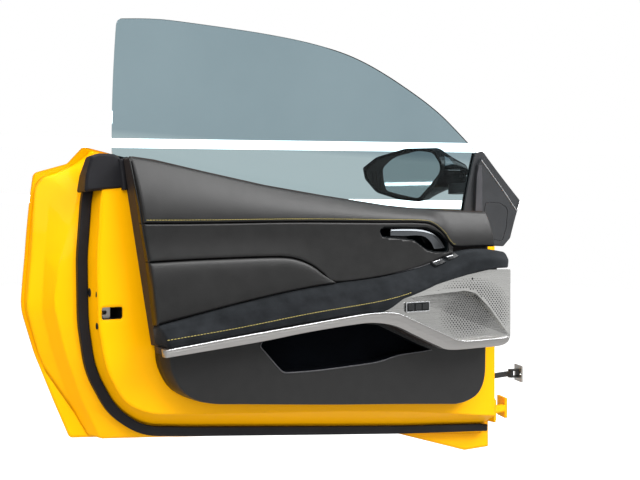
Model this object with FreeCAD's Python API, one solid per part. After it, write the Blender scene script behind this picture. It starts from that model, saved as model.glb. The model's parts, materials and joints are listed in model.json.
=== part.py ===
import FreeCAD, Part
import math
import os

# Left front door of a two-door coupe, with hinges, check arm and mirror, in millimetres.
# Working axes: the hinge axis is at x = 0, y = 0. +X points to the front of the door,
# +Y to the outside of the car and +Z up. The door stands open, as it does at rest.
# At the end everything moves so that the origin is the middle of the lower hinge's
# bolt pattern on the pillar.

V = FreeCAD.Vector

# Door opening
OPEN_ANGLE = 67.0

# Walls and depths from the hinge axis, where inboard is negative
SHELL_WALL = 3.0
SKIN_WALL = 2.5
FRONT_FACE_X = -20.0
SHELL_INNER_Y = -40.0
SEAT_Y = 12.0
RIDGE_Y = 20.0
VALLEY_Y = 46.0
RIM_Y = 60.0
HEM = 6.0
FRONT_BEVEL = 14.0
CARRIER_THICK = 40.0
PAD_THICK = 20.0
ARMREST_THICK = 67.0
ARMREST_SLOPE = 24.0
ARMREST_TAPER = 30.0
LOWER_TRIM_THICK = 44.0
LOWER_TRIM_DRAFT = 14.0
SEAM = 1.0

# Window glass, a cylinder that leans inboard
GLASS_THICK = 4.0
GLASS_RADIUS = 1200.0
GLASS_BELT = (0.0, 600.0)
GLASS_TOP = (-118.0, 895.0)
GLASS_FOOT_Z = 490.0
GLASS_FRONT_X = -99.0
GLASS_CLEAR = 0.5
CHANNEL = (11.0, 14.0)
WINDOW_SLOT = (-16.0, 24.0)

# Perimeter seal
SEAL_WIDTH = 19.0
SEAL_HEIGHT = 13.0

# Hinges
HINGE_Z = {"lower": -15.0, "upper": 293.0}
HINGE_HALF_HEIGHT = 28.0
HINGE_PLATE = 7.0
KNUCKLE_R = 11.0
KNUCKLE_HALF = 9.5
KNUCKLE_GAP = 0.5
PIN_R = 5.0
PIN_FIT = 0.05
PIN_HEAD_R = 8.0
PIN_HEAD = 3.0
DOOR_LEAF_Y = (-25.0, 11.0)
PILLAR_FACE_L = -52.0
PILLAR_PLATE_F = (14.0, 66.0)
PILLAR_BOLT_PITCH = 34.0
BOLT_HOLE_R = 4.5

# Check arm
CHECK_Z = 84.0
CHECK_PIVOT = (12.0, -62.0)
CHECK_FACE_L = -88.0
CHECK_SLOT_Y = -15.0
CHECK_ARM_LENGTH = 96.0
CHECK_ARM_THICK = 6.0
CHECK_ARM_HEIGHT = 14.0
CHECK_STOP = (10.0, 18.0)
CHECK_CLEAR = 6.0
CHECK_PLATE = 46.0
CHECK_PLATE_THICK = 4.0
CHECK_BOLT_PITCH = 30.0
CHECK_BOLT_R = 3.3
CHECK_PIN_R = 3.5
CHECK_EAR = 4.0
CHECK_EAR_R = 8.0

# Speaker and grille. The dish is flush along DISH_FOOT and its floor falls DISH_SLOPE in one
GRILLE_THICK = 3.0
GRILLE_STAND = 47.0
SPEAKER_AT = (-235.0, 281.0)
SPEAKER_R = 52.0
SPEAKER_FLANGE = 4.0
SPEAKER_DEEP = 24.0
SPEAKER_CAP_R = 17.0
DISH_FOOT = ((-425.0, 326.0), (-72.0, 212.0))
DISH_SLOPE = 0.21
PERFORATED_R = 54.0
HOLE_R = 3.0
HOLE_PITCH = 10.5

# Mirror, its foot on the sail and the pin between them
MIRROR_TOE = 20.0
MIRROR_PIVOT = (-60.0, 78.0)
MIRROR_MID = (-144.0, 180.0, 652.0)
MIRROR_RECESS = 12.0
MIRROR_RIM = 6.0
MIRROR_PIN_R = 7.0
MIRROR_BOSS_R = 26.0
MIRROR_CLEAR = 6.0
MIRROR_FOOT_Z = (596.0, 624.0)
MIRROR_SPLIT = 0.5

# Small controls
BUTTON = (19.5, 14.0, 2.0)
BUTTON_PITCH = 22.5
MEMORY_AT = (-398.0, 304.0)
SWITCH = (38.0, 18.0, 6.0)
SWITCH_AT = (-316.0, 405.6)
SWITCH_PITCH = (46.0, 13.7)
SOCKET = (8.0, 30.0, 36.0)
SOCKET_AT = (-7.0, 194.0)
SOCKET_WALL = 5.0
CLAW_AT = (-1122.0, 320.0)

# Rings round the door in side view. One row a corner, each with the (x, z) of the inner face,
# of the outside of the seal's seat, of the ridge and the valley of the flange and of the rim
# of the skin, then the corner's radius on the first two and on the last three.
RINGS = [((-1100, 622), (-1138, 642), (-1140, 643), (-1148, 646), (-1156, 651), 6, 6),
         ((-1132, 596), (-1158, 600), (-1159, 601), (-1180, 612), (-1182, 617), 20, 10),
         ((-1143, 540), (-1167, 540), (-1168, 541), (-1212, 588), (-1245, 596), 90, 12),
         ((-1150, 430), (-1175, 430), (-1205, 420), (-1224, 430), (-1254, 430), 400, 300),
         ((-1147, 300), (-1173, 300), (-1217, 345), (-1229, 320), (-1263, 330), 400, 120),
         ((-1132, 210), (-1158, 200), (-1192, 240), (-1210, 240), (-1240, 240), 200, 200),
         ((-1094, 140), (-1112, 112), (-1158, 140), (-1180, 150), (-1205, 140), 150, 200),
         ((-1040, 112), (-1045, 60), (-1122, 62), (-1150, 70), (-1178, 68), 150, 10),
         ((-930, 98), (-930, 43), (-935, 40), (-960, 36), (-1000, 48), 300, 60),
         ((-560, 58), (-560, -6), (-560, -8), (-560, -12), (-560, -10), 300, 300),
         ((-330, 28), (-330, -36), (-330, -38), (-330, -44), (-330, -40), 100, 60),
         ((-70, -14), (-60, -67), (-62, -71), (-75, -100), (-87, -120), 20, 12),
         ((FRONT_FACE_X, -22), (FRONT_FACE_X, -72), (FRONT_FACE_X, -76), (0, -104), (9, -124), 4, 4),
         ((FRONT_FACE_X, 447), (FRONT_FACE_X, 452), (FRONT_FACE_X, 456), (30, 480), (45, 490), 4, 4),
         ((-76, 450), (-78, 456), (-74, 460), (-60, 500), (-40, 546), 10, 10),
         ((-104, 530), (-112, 540), (-110, 544), (-105, 545), (-105, 548), 10, 10),
         ((-400, 538), (-400, 545), (-400, 547), (-400, 548), (-400, 551), 100, 100),
         ((-800, 574), (-800, 581), (-800, 583), (-800, 584), (-800, 586), 200, 200)]
TOP_ROWS = (-3, -2, -1, 0)

# Outer skin, as (y, z) poles of its section curve at three stations along the door
SKIN_SECTIONS = [(-1300, [(15, 680), (75, 600), (130, 420), (62, 250), (40, 40)]),
                 (-600, [(15, 620), (60, 560), (95, 370), (46, 200), (27, -60)]),
                 (120, [(20, 580), (50, 510), (62, 330), (40, 120), (25, -180)])]
SKIN_BACK_Y = -80.0

# Lines of the trim in side view, as (x, z) or (x, z, corner radius), from rear to front
TRIM_TOP = [(-1100, 627, 6), (-1049, 623, 40), (-939, 605, 200), (-795, 583, 200), (-635, 565, 200),
            (-457, 548, 200), (-327, 541, 100)]
TRIM_FRONT = [(-120, 540, 18), (-104, 500, 30)]
TRIM_REAR = [(-1069, 440, 100), (-1052, 336, 60), (-1038, 252)]
SEAM_1 = [(-1080, 496), (-959, 498, 100), (-717, 504, 100), (-490, 506, 100), (-345, 508, 60), (-285, 484, 50), (-252, 440)]
SEAM_2 = [(-1067, 421), (-959, 425, 100), (-738, 428, 50), (-690, 412, 40), (-620, 367)]
ARMREST_TOP = [(-1050, 296), (-959, 314, 200), (-869, 331, 200), (-740, 354, 150), (-620, 366, 100), (-488, 376, 100),
               (-371, 396, 60), (-300, 416, 60), (-230, 438, 60)]
ARMREST_NOSE = [(-150, 443, 40), (-70, 432, 14), (-64, 388, 4)]
GRILLE_TOP = [(-68, 388, 6), (-150, 388, 60), (-235, 376, 100), (-374, 349, 100), (-440, 332, 60), (-486, 314, 20),
              (-508, 297, 4)]
BLADE_TOP = [(-1054, 254), (-897, 269, 200), (-738, 283, 200), (-560, 299, 60), (-478, 295, 30), (-267, 213, 20), (-92, 212)]
BLADE_BOTTOM = [(-100, 200, 6), (-126, 191, 10), (-304, 193, 40), (-350, 208, 30), (-483, 266, 60), (-560, 277, 60),
                (-729, 268, 200), (-849, 254, 200), (-1052, 238)]
LEAF = [(-425, 326, 4), (-374, 330, 60), (-235, 337, 60), (-196, 328, 30), (-146, 288, 60), (-72, 212, 4)]
LOWER_TRIM = [(-114, 211, 4), (-116, 96, 60), (-150, 52, 50), (-232, 42, 60), (-621, 88, 200), (-919, 124, 100),
              (-985, 142, 40), (-1010, 190, 40), (-1014, 246, 4)]
POCKET = [(-810, 236, 12), (-758, 180, 12), (-740, 173, 12), (-654, 170, 60), (-475, 174, 80), (-428, 184, 40),
          (-349, 187, 40), (-306, 188, 6), (-352, 205, 30), (-484, 262, 50), (-560, 272, 60), (-729, 263, 60), (-798, 256, 8)]
HANDLE_BEZEL = [(-497, 488, 8), (-486, 470, 10), (-430, 466, 30), (-384, 461, 30), (-344, 438, 20), (-318, 432, 10),
                (-268, 432, 8), (-272, 462, 20), (-304, 484, 40), (-346, 496, 40), (-480, 496, 6)]
LEVER = [(-457, 491, 3), (-372, 493, 40), (-330, 488, 40), (-298, 472, 30), (-276, 444, 3), (-314, 441, 3), (-324, 458, 20),
         (-347, 474, 20), (-376, 474, 20), (-412, 472, 20), (-457, 473, 3)]
GLASS_OUTLINE = [(-1092, GLASS_FOOT_Z), (-1109, 640), (-1136, 880, 12), (-1003, 893, 300), (-819, 897, 400),
                 (-677, 891, 300), (-556, 873, 200), (-416, 832, 200), (-261, 776, 200), (GLASS_FRONT_X, 704, 3),
                 (GLASS_FRONT_X, GLASS_FOOT_Z)]
SAIL_OUTLINE = [(GLASS_FRONT_X + 1, 500), (GLASS_FRONT_X + 1, 700, 4), (-80, 706, 4), (116, 578, 12), (96, 470, 10), (70, 446, 8),
                (-40, 450)]
SAIL_PANEL = [(-68, 540), (-92, 668, 6), (-78, 688, 6), (96, 574, 10), (84, 480, 10), (62, 450, 8), (-30, 453)]
SAIL_INSERT = [(-35, 470, 6), (-35, 570, 6), (20, 570, 16), (62, 556, 24), (66, 500, 10), (56, 460, 10)]
CORNER_CAP = [(-1174, 557, 4), (-1171, 590, 12), (-1161, 627, 8), (-1145, 633, 6), (-1115, 633, 6), (-1103, 627, 4),
              (-1093, 567, 3)]
OUTER_HANDLE = [(-1238, 336, 9), (-1060, 322, 9), (-1060, 298, 9), (-1238, 312, 9)]
LATCH = [(-1160, 284), (-1160, 352), (-1072, 352), (-1072, 284)]
LATCH_MOUTH = [(-1140, 308, 4), (-1140, 332, 4), (-1098, 332, 4), (-1098, 308, 4)]

# Mirror: sections of the housing as (depth, (outward, up, radius) corners), and its glass
MIRROR_SECTIONS = [
    (0, [(166, 30, 8), (118, 60, 60), (20, 79, 100), (-66, 75, 44), (-106, 24, 44),
         (-76, -36, 56), (-30, -78, 20), (40, -70, 56), (118, -46, 50), (158, -4, 16)]),
    (40, [(158, 30, 8), (112, 60, 60), (18, 80, 100), (-68, 80, 44), (-138, 28, 44),
          (-92, -38, 56), (-32, -72, 20), (36, -66, 56), (108, -42, 50), (144, -2, 16)]),
    (74, [(132, 27, 8), (96, 50, 60), (12, 70, 100), (-58, 72, 44), (-158, 18, 44),
          (-112, -30, 56), (-36, -56, 20), (26, -52, 56), (90, -32, 50), (118, 0, 16)]),
    (96, [(84, 20, 8), (60, 34, 60), (6, 45, 100), (-46, 47, 44), (-106, 8, 44),
          (-80, -18, 56), (-34, -34, 20), (16, -32, 56), (60, -18, 50), (78, 0, 16)])]
MIRROR_GLASS = [(98, 26, 24), (60, 56, 90), (-20, 70, 80), (-68, 62, 30), (-90, 28, 30), (-90, 4, 30), (-60, -30, 50),
                (-22, -68, 20), (40, -54, 60), (84, -42, 16), (94, -10, 40)]
MIRROR_FINS = [(104, -36, 16), (118, -30, 18), (132, -18, 20)]


# Shapes

def corner(points, i):
    """Start, middle and end of the arc that rounds corner i, or the corner itself."""
    p = V(points[i][0], points[i][1], 0)
    radius = points[i][2] if len(points[i]) > 2 else 0
    if radius == 0:
        return [p]
    after = points[(i + 1) % len(points)]
    a = V(points[i - 1][0], points[i - 1][1], 0) - p
    b = V(after[0], after[1], 0) - p
    half = a.getAngle(b) / 2
    reach = min(radius / math.tan(half), 0.45 * a.Length, 0.45 * b.Length)
    radius = reach * math.tan(half)
    a.normalize()
    b.normalize()
    middle = (a + b).normalize()
    centre = p + middle * (radius / math.sin(half))
    return [p + a * reach, centre - middle * radius, p + b * reach]


def outline(points, place):
    """Closed wire of straight runs and corner arcs, put in space by place(u, v)."""
    stations = [corner(points, i) for i in range(len(points))]
    edges = []
    for here, after in zip(stations, stations[1:] + stations[:1]):
        if len(here) == 3:
            edges.append(Part.Arc(*[place(q.x, q.y) for q in here]).toShape())
        edges.append(Part.makeLine(place(here[-1].x, here[-1].y), place(after[0].x, after[0].y)))
    return Part.Wire(edges)


def side(points, y):
    """Outline in the door's side view at depth y."""
    return outline(points, lambda u, v: V(u, y, v))


def slab(points, y0, y1):
    """Side outline thickened from depth y0 to depth y1."""
    return Part.Face(side(points, y0)).extrude(V(0, y1 - y0, 0))


def prism(points, z0, z1):
    """Plan outline, as (x, y), raised from z0 to z1."""
    return Part.Face(outline(points, lambda u, v: V(u, v, z0))).extrude(V(0, 0, z1 - z0))


def drafted(near, y_near, far, y_far):
    """Straight-sided solid between two side outlines with the same corners."""
    return Part.makeLoft([side(near, y_near), side(far, y_far)], True, True)


def inset(points, d):
    """The outline moved inwards by d, corner by corner."""
    around = points[1:] + points[:1]
    area = sum(p[0] * q[1] - q[0] * p[1] for p, q in zip(points, around))
    turn = 1 if area > 0 else -1
    moved = []
    for before, p, after in zip(points[-1:] + points[:-1], points, around):
        a = V(p[0] - before[0], p[1] - before[1], 0).normalize()
        b = V(after[0] - p[0], after[1] - p[1], 0).normalize()
        na = V(-a.y, a.x, 0) * turn
        nb = V(-b.y, b.x, 0) * turn
        shift = (na + nb) * (d / (1 + na.dot(nb)))
        moved.append((p[0] + shift.x, p[1] + shift.y) + tuple(p[2:]))
    return moved


def lowered(points, drop):
    return [(p[0], p[1] - drop) + tuple(p[2:]) for p in points]


def box(x0, x1, y0, y1, z0, z1):
    return Part.makeBox(x1 - x0, y1 - y0, z1 - z0, V(x0, y0, z0))


def upright(r, x, y, z0, z1):
    """Vertical cylinder."""
    return Part.makeCylinder(r, z1 - z0, V(x, y, z0))


def car(f, l):
    """Door axes of a point f ahead of and l outboard of the hinge axis on the car."""
    c = math.cos(math.radians(OPEN_ANGLE))
    s = math.sin(math.radians(OPEN_ANGLE))
    return (f * c - l * s, f * s + l * c)


def on_car(points, z0, z1):
    """Plan outline, as (forward, outboard) on the car, raised from z0 to z1."""
    return prism([car(p[0], p[1]) + tuple(p[2:]) for p in points], z0, z1)


def car_rod(r, f, l0, l1, z):
    """Rod along the car's width, for bolt holes in the pillar's plates."""
    x0, y0 = car(f, l0)
    x1, y1 = car(f, l1)
    axis = V(x1 - x0, y1 - y0, 0)
    return Part.makeCylinder(r, axis.Length, V(x0, y0, z), axis)


# Body of the door

def skin_volume(depth):
    """All that lies inboard of a surface set depth under the outside of the skin."""
    wires = []
    for x, poles in SKIN_SECTIONS:
        pts = [V(x, y - depth, z) for y, z in poles]
        curve = Part.BezierCurve()
        curve.setPoles(pts)
        low = V(x, SKIN_BACK_Y, pts[-1].z)
        high = V(x, SKIN_BACK_Y, pts[0].z)
        runs = [Part.makeLine(pts[-1], low), Part.makeLine(low, high), Part.makeLine(high, pts[0])]
        wires.append(Part.Wire([curve.toShape()] + runs))
    return Part.makeLoft(wires, True, False)


def ring(k):
    """Ring 0 of the inner face, 1 of the seal's seat, 2 and 3 of the flange or 4 of the rim."""
    return [row[k] + (row[5 if k < 2 else 6],) for row in RINGS]


def seat_inside(wall):
    """Inner edge of the seal's seat, which runs out to the flat front face."""
    band = inset(ring(1), SEAL_WIDTH + 1 + wall)
    return [(FRONT_FACE_X - wall if ring(1)[i][0] == FRONT_FACE_X else p[0],) + p[1:] for i, p in enumerate(band)]


def front_bevel(wall):
    """What the bevel takes off the inboard edge of the front face."""
    x, y = FRONT_FACE_X, SHELL_INNER_Y
    shift = wall * math.sqrt(2)
    run = [(x - FRONT_BEVEL - shift, y - 1), (x + 1, y - 1), (x + 1, y + FRONT_BEVEL + shift + 1), (x, y + FRONT_BEVEL + shift)]
    return prism(run + [(x - FRONT_BEVEL - shift, y)], -200, 700)


def door_volume(wall):
    """Inside of the door between its inner face and its skin, set in by wall."""
    pan = drafted(inset(ring(0), wall), SHELL_INNER_Y + wall, seat_inside(wall), SEAT_Y + wall)
    steps = [(inset(ring(1), wall), SEAT_Y + wall), (inset(ring(2), wall), RIDGE_Y + wall),
             (inset(ring(3), wall), VALLEY_Y + wall), (inset(ring(4), wall + HEM), RIM_Y + wall)]
    flange = [drafted(near, y0, far, y1) for (near, y0), (far, y1) in zip(steps, steps[1:])]
    rim, y = steps[-1]
    return pan.cut(front_bevel(wall)).fuse(flange + [slab(rim, y, y + 60)])


def outer_skin():
    sheet = skin_volume(0).cut(skin_volume(SKIN_WALL))
    return sheet.common(slab(ring(4), 0, 200))


def window_slot():
    """Gap in the top of the shell that the glass comes out of."""
    run = [(-1108, 560), (-1108, 700), (-96, 700), (-96, 500)]
    return slab(run, WINDOW_SLOT[0], WINDOW_SLOT[1])


def check_slot():
    half = CHECK_ARM_HEIGHT / 2 + CHECK_CLEAR
    return box(FRONT_FACE_X - 30, FRONT_FACE_X + 10, CHECK_SLOT_Y - 18, CHECK_SLOT_Y + 18,
               CHECK_Z - half, CHECK_Z + half)


def inner_shell():
    solid = door_volume(0).common(skin_volume(SKIN_WALL))
    hollow = door_volume(SHELL_WALL)
    return solid.cut([hollow, window_slot(), check_slot(), slab(LATCH_MOUTH, -60, 30)])


def perimeter_seal():
    outer = inset(ring(1), 0.5)
    inner = inset(ring(1), 0.5 + SEAL_WIDTH)
    band = slab(outer, SEAT_Y - SEAL_HEIGHT, SEAT_Y).cut(slab(inner, SEAT_Y - SEAL_HEIGHT - 1, SEAT_Y + 1))
    low_front = ring(1)[12][1]
    top = box(-1127, 100, -50, 50, 300, 800)
    above_cap = box(-1300, -1100, -50, 50, 590, 800)
    front = box(FRONT_FACE_X - SEAL_WIDTH - 2, 100, -50, 50, low_front + SEAL_WIDTH, 300)
    return band.cut([top, above_cap, front])


def corner_cap():
    """Rubber block over the top end of the seal, with a bevelled front."""
    front = SHELL_INNER_Y - 4
    block = drafted(inset(CORNER_CAP, 4), front, CORNER_CAP, front + 5).fuse(slab(CORNER_CAP, front + 5, SEAT_Y + 20))
    return block.cut([door_volume(0), perimeter_seal(), glass_side(-GLASS_THICK / 2 - GLASS_CLEAR, 500)])


def latch():
    """Latch body behind the shut face, open at the mouth that the striker enters."""
    block = slab(LATCH, -60, 34).common(door_volume(SHELL_WALL))
    return block.cut(slab(LATCH_MOUTH, -70, 22))


def latch_claw():
    x, z = CLAW_AT
    claw = slab([(x - 8, z - 11, 3), (x - 8, z + 11, 3), (x + 8, z + 11, 3), (x + 8, z - 11, 3)], -14, 22)
    return claw.cut(slab([(x - 20, z - 4), (x - 20, z + 4), (x + 1, z + 4, 3), (x + 1, z - 4, 3)], -20, 14))


# Glass and waist

def glass_centre():
    y0, z0 = GLASS_BELT
    y1, z1 = GLASS_TOP
    chord = math.hypot(y1 - y0, z1 - z0)
    reach = math.sqrt(GLASS_RADIUS ** 2 - chord ** 2 / 4)
    return ((y0 + y1) / 2 - (z1 - z0) / chord * reach, (z0 + z1) / 2 + (y1 - y0) / chord * reach)


def glass_bar(r):
    """Bar round the glass's axis, as long as the door."""
    y, z = glass_centre()
    return Part.makeCylinder(r, 1600, V(-1400, y, z), V(1, 0, 0))


def glass_side(low, high):
    """Layer from low to high outboard of the middle of the glass."""
    return glass_bar(GLASS_RADIUS + high).cut(glass_bar(GLASS_RADIUS + low))


def window_glass():
    layer = glass_side(-GLASS_THICK / 2, GLASS_THICK / 2)
    return layer.common(slab(GLASS_OUTLINE, -300, 200))


def belt_strip(low, high, x0, x1):
    """Strip along the top of the door, from low to high above its top line."""
    tops = sorted(RINGS[i][0] for i in TOP_ROWS)
    run = [(x, z + high) for x, z in tops] + [(x, z + low) for x, z in reversed(tops)]
    return slab(run, -200, 200).common(box(x0, x1, -200, 200, 300, 800))


def waist_seal_inner():
    strip = belt_strip(1, 9, -1090, -108)
    strip = strip.common(box(-1400, 200, SHELL_INNER_Y, 100, 300, 800))
    strip = strip.common(glass_bar(GLASS_RADIUS - GLASS_THICK / 2 - GLASS_CLEAR))
    return strip.cut(door_volume(0))


def waist_seal_outer():
    strip = belt_strip(-4, 14, -1090, -108)
    strip = strip.common(box(-1400, 200, 0, 100, 300, 800)).common(skin_volume(SKIN_WALL))
    return strip.cut([glass_bar(GLASS_RADIUS + GLASS_THICK / 2 + GLASS_CLEAR), door_volume(0)])


def sail_plate():
    """Base of the sail with the channel that the glass runs in."""
    outer = skin_volume(0).cut(skin_volume(SKIN_WALL + 1))
    layer = glass_side(-6, 3).common(slab(SAIL_OUTLINE, -200, 100))
    x = GLASS_FRONT_X
    half = CHANNEL[1] / 2
    lip = glass_side(-half, half).common(box(x - CHANNEL[0] + 4, x + 4, -200, 100, 536, 700))
    groove = glass_side(-GLASS_THICK / 2 - GLASS_CLEAR, GLASS_THICK / 2 + GLASS_CLEAR)
    groove = groove.common(box(x - 60, x + 0.6, -200, 100, 400, 800))
    return layer.fuse(lip).cut([groove, door_volume(0), outer])


def sail_panel():
    """Cover on the sail, with a groove round its lower insert."""
    cover = glass_side(-14, -6).common(slab(SAIL_PANEL, -200, 100))
    mark = slab(SAIL_INSERT, -200, 100).cut(slab(inset(SAIL_INSERT, 2), -201, 101))
    groove = glass_side(-15, -12).common(mark)
    return cover.cut([groove, door_volume(0)])


# Trim

def carrier_y(extra):
    """Depth of a face extra in front of the trim's carrier."""
    return SHELL_INNER_Y - CARRIER_THICK - extra


def trim_carrier():
    rear = [(-1087, 550, 100)] + TRIM_REAR
    front = [(-104, 440), ARMREST_NOSE[0], ARMREST_NOSE[1], (-64, 214)]
    run = TRIM_TOP + TRIM_FRONT + front + list(reversed(BLADE_TOP[1:-1])) + list(reversed(rear))
    body = slab(run, carrier_y(0), SHELL_INNER_Y)
    return body.cut([slab(HANDLE_BEZEL, carrier_y(1), SHELL_INNER_Y - 18), speaker_well()])


def pad(points):
    """Panel of the trim at the pads' depth."""
    return slab(inset(points, SEAM / 2), carrier_y(PAD_THICK), carrier_y(0))


def trim_upper():
    low = [(-104, 446, 4), (-150, 450, 40), (-236, 448, 4)]
    return pad(TRIM_TOP + TRIM_FRONT + low + list(reversed(SEAM_1[:-1])))


def trim_mid():
    """Panel round the release handle, between the seam above and the armrest."""
    lower = [p for p in ARMREST_TOP if p[0] > -600]
    run = SEAM_1[:-1] + [(-250, 442, 4)] + list(reversed(lower)) + list(reversed(SEAM_2))
    return pad(run).cut(slab(HANDLE_BEZEL, carrier_y(PAD_THICK + 1), carrier_y(-1)))


def trim_pad():
    upper = [p for p in ARMREST_TOP if p[0] < -630]
    return pad(SEAM_2 + list(reversed(upper)))


def tapered(points):
    """The front end of an outline drawn back by ARMREST_TAPER."""
    return [(min(p[0], ARMREST_NOSE[-1][0] - ARMREST_TAPER),) + tuple(p[1:]) for p in points]


def armrest():
    """Armrest from the pads out to the blade, with a sloping top and a front end drawn back."""
    low = [(GRILLE_TOP[-1][0], BLADE_TOP[3][1] + 1, 0)] + list(reversed(BLADE_TOP[:4]))
    top = ARMREST_TOP + ARMREST_NOSE
    base = top + GRILLE_TOP[1:-1] + low
    face = tapered(lowered(top[:-1], ARMREST_SLOPE) + top[-1:]) + GRILLE_TOP[1:-1] + low
    near = inset(face, SEAM / 2)
    far = inset(base, SEAM / 2)
    block = drafted(near, carrier_y(ARMREST_THICK), far, carrier_y(PAD_THICK))
    return block.fuse(slab(far, carrier_y(PAD_THICK), carrier_y(0)))


def blade():
    run = BLADE_TOP + BLADE_BOTTOM
    return slab(inset(run, SEAM / 2), carrier_y(ARMREST_THICK + 2), carrier_y(4))


def lower_trim():
    """Panel under the blade, whose lower edge widens towards the shell."""
    top = [(p[0], p[1]) + tuple(p[2:]) for p in BLADE_TOP[1:-1]]
    count = len(LOWER_TRIM)
    near = inset(list(reversed(LOWER_TRIM)), 0)
    wide = inset(near, -LOWER_TRIM_DRAFT)
    far = near[:1] + wide[1:count - 1] + near[-1:]
    face = near + list(reversed(top))
    base = far + list(reversed(top))
    body = drafted(face, SHELL_INNER_Y - LOWER_TRIM_THICK, base, SHELL_INNER_Y)
    return body.cut(slab(POCKET, SHELL_INNER_Y - LOWER_TRIM_THICK - 1, SHELL_INNER_Y - 8))


def pocket_liner():
    tray = slab(inset(POCKET, 0.3), SHELL_INNER_Y - LOWER_TRIM_THICK, SHELL_INNER_Y - 8)
    return tray.cut(slab(inset(POCKET, 2.3), SHELL_INNER_Y - LOWER_TRIM_THICK - 1, SHELL_INNER_Y - 10))


# Speaker and grille

def speaker_rod(r, y0, y1):
    return Part.makeCylinder(r, y1 - y0, V(SPEAKER_AT[0], y0, SPEAKER_AT[1]), V(0, 1, 0))


def speaker_well():
    return speaker_rod(SPEAKER_R - 6, carrier_y(1), SHELL_INNER_Y + 1)


def grille_y():
    return carrier_y(GRILLE_STAND)


def grille_outline():
    """Edge of the grille, whose lower side rests on the blade's top line."""
    low = [(BLADE_TOP[4][0], BLADE_TOP[4][1] + 1, 20), (BLADE_TOP[5][0], BLADE_TOP[5][1] + 1, 20), (GRILLE_TOP[0][0], 214, 4)]
    return GRILLE_TOP + low


def dish(outline_points, depth):
    """Space in front of a plane that falls away from DISH_FOOT, depth behind the dish's floor."""
    (x0, z0), (x1, z1) = DISH_FOOT
    run = V(x1 - x0, 0, z1 - z0)
    along = V(run).normalize()
    up = V(-along.z, 0, along.x)
    y = grille_y() + depth
    start = V(x0, 0, z0) - along * 60
    corners = [start + V(0, grille_y() - 1, 0), start + V(0, y, 0), start + up * 100 + V(0, y + 100 * DISH_SLOPE, 0),
               start + up * 100 + V(0, grille_y() - 1, 0)]
    wedge = Part.Face(Part.makePolygon(corners + corners[:1])).extrude(along * (run.Length + 120))
    return wedge.common(slab(outline_points, grille_y() - 2, grille_y() + 60))


def speaker_grille():
    """Plate with a leaf-shaped dish and a round field of hexagonal holes."""
    y = grille_y()
    plate = slab(inset(grille_outline(), SEAM / 2), y, y + GRILLE_THICK)
    grille = plate.fuse(dish(inset(LEAF, -GRILLE_THICK), GRILLE_THICK)).cut(dish(LEAF, 0))
    holes = []
    rows = int(PERFORATED_R / HOLE_PITCH) + 2
    for i in range(-rows, rows + 1):
        for j in range(-rows, rows + 1):
            dx = (i + j / 2) * HOLE_PITCH
            dz = j * HOLE_PITCH * math.sqrt(3) / 2
            if math.hypot(dx, dz) < PERFORATED_R:
                hexagon = [(SPEAKER_AT[0] + dx + HOLE_R * math.cos(a), SPEAKER_AT[1] + dz + HOLE_R * math.sin(a))
                           for a in [k * math.pi / 3 for k in range(6)]]
                holes.append(slab(hexagon, y - 1, carrier_y(SPEAKER_FLANGE + 2)))
    return grille.cut(Part.makeCompound(holes))


def speaker_box():
    """Housing between the carrier and the grille."""
    run = inset(grille_outline(), 4)
    body = slab(run, grille_y() + GRILLE_THICK, carrier_y(0))
    behind = dish(inset(LEAF, -GRILLE_THICK - 1), GRILLE_THICK + 1)
    return body.cut([speaker_rod(SPEAKER_R + 2, grille_y(), SHELL_INNER_Y), behind])


def speaker():
    """Shallow cone driver with a dust cap, which lies on the carrier round its well."""
    front = carrier_y(SPEAKER_FLANGE + 0.3)
    back = front + SPEAKER_FLANGE
    well = SPEAKER_R - 7
    profile = [(0, back + SPEAKER_DEEP), (0, back + 6), (SPEAKER_CAP_R, back + 8), (well - 6, front), (SPEAKER_R, front),
               (SPEAKER_R, back), (well, back), (well, back + SPEAKER_DEEP)]
    edges = [Part.makeLine(V(*p, 0), V(*q, 0)) for p, q in zip(profile, profile[1:] + profile[:1])]
    solid = Part.Face(Part.Wire(edges)).revolve(V(0, 0, 0), V(0, 1, 0), 360)
    solid.translate(V(SPEAKER_AT[0], 0, SPEAKER_AT[1]))
    return solid


# Controls

def handle_bezel():
    rim = inset(HANDLE_BEZEL, 0.3)
    cup = slab(rim, carrier_y(PAD_THICK + 1), SHELL_INNER_Y - 18)
    return cup.cut(slab(inset(HANDLE_BEZEL, 3), carrier_y(PAD_THICK + 2), SHELL_INNER_Y - 21))


def handle_lever():
    """Release lever in the bezel, on a stem at its front end."""
    bar = slab(LEVER, carrier_y(PAD_THICK), carrier_y(PAD_THICK - 9))
    x, z = LEVER[3][0] - 10, LEVER[3][1] - 9
    stem = box(x - 9, x + 9, carrier_y(PAD_THICK - 9), SHELL_INNER_Y - 21, z - 6, z + 6)
    return bar.fuse(stem)


def rounded(x, z, w, h, r):
    """Rectangle with rounded corners in side view."""
    return [(x - w / 2, z - h / 2, r), (x - w / 2, z + h / 2, r), (x + w / 2, z + h / 2, r), (x + w / 2, z - h / 2, r)]


def memory_switch():
    width = 2 * BUTTON_PITCH + BUTTON[0] + 7
    return slab(rounded(*MEMORY_AT, width, BUTTON[1] + 7, 3), grille_y() - 4, grille_y())


def memory_button(k):
    x, z = MEMORY_AT
    y = grille_y() - 4
    return slab(rounded(x + (k - 1) * BUTTON_PITCH, z, BUTTON[0], BUTTON[1], 2), y - BUTTON[2], y)


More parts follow.
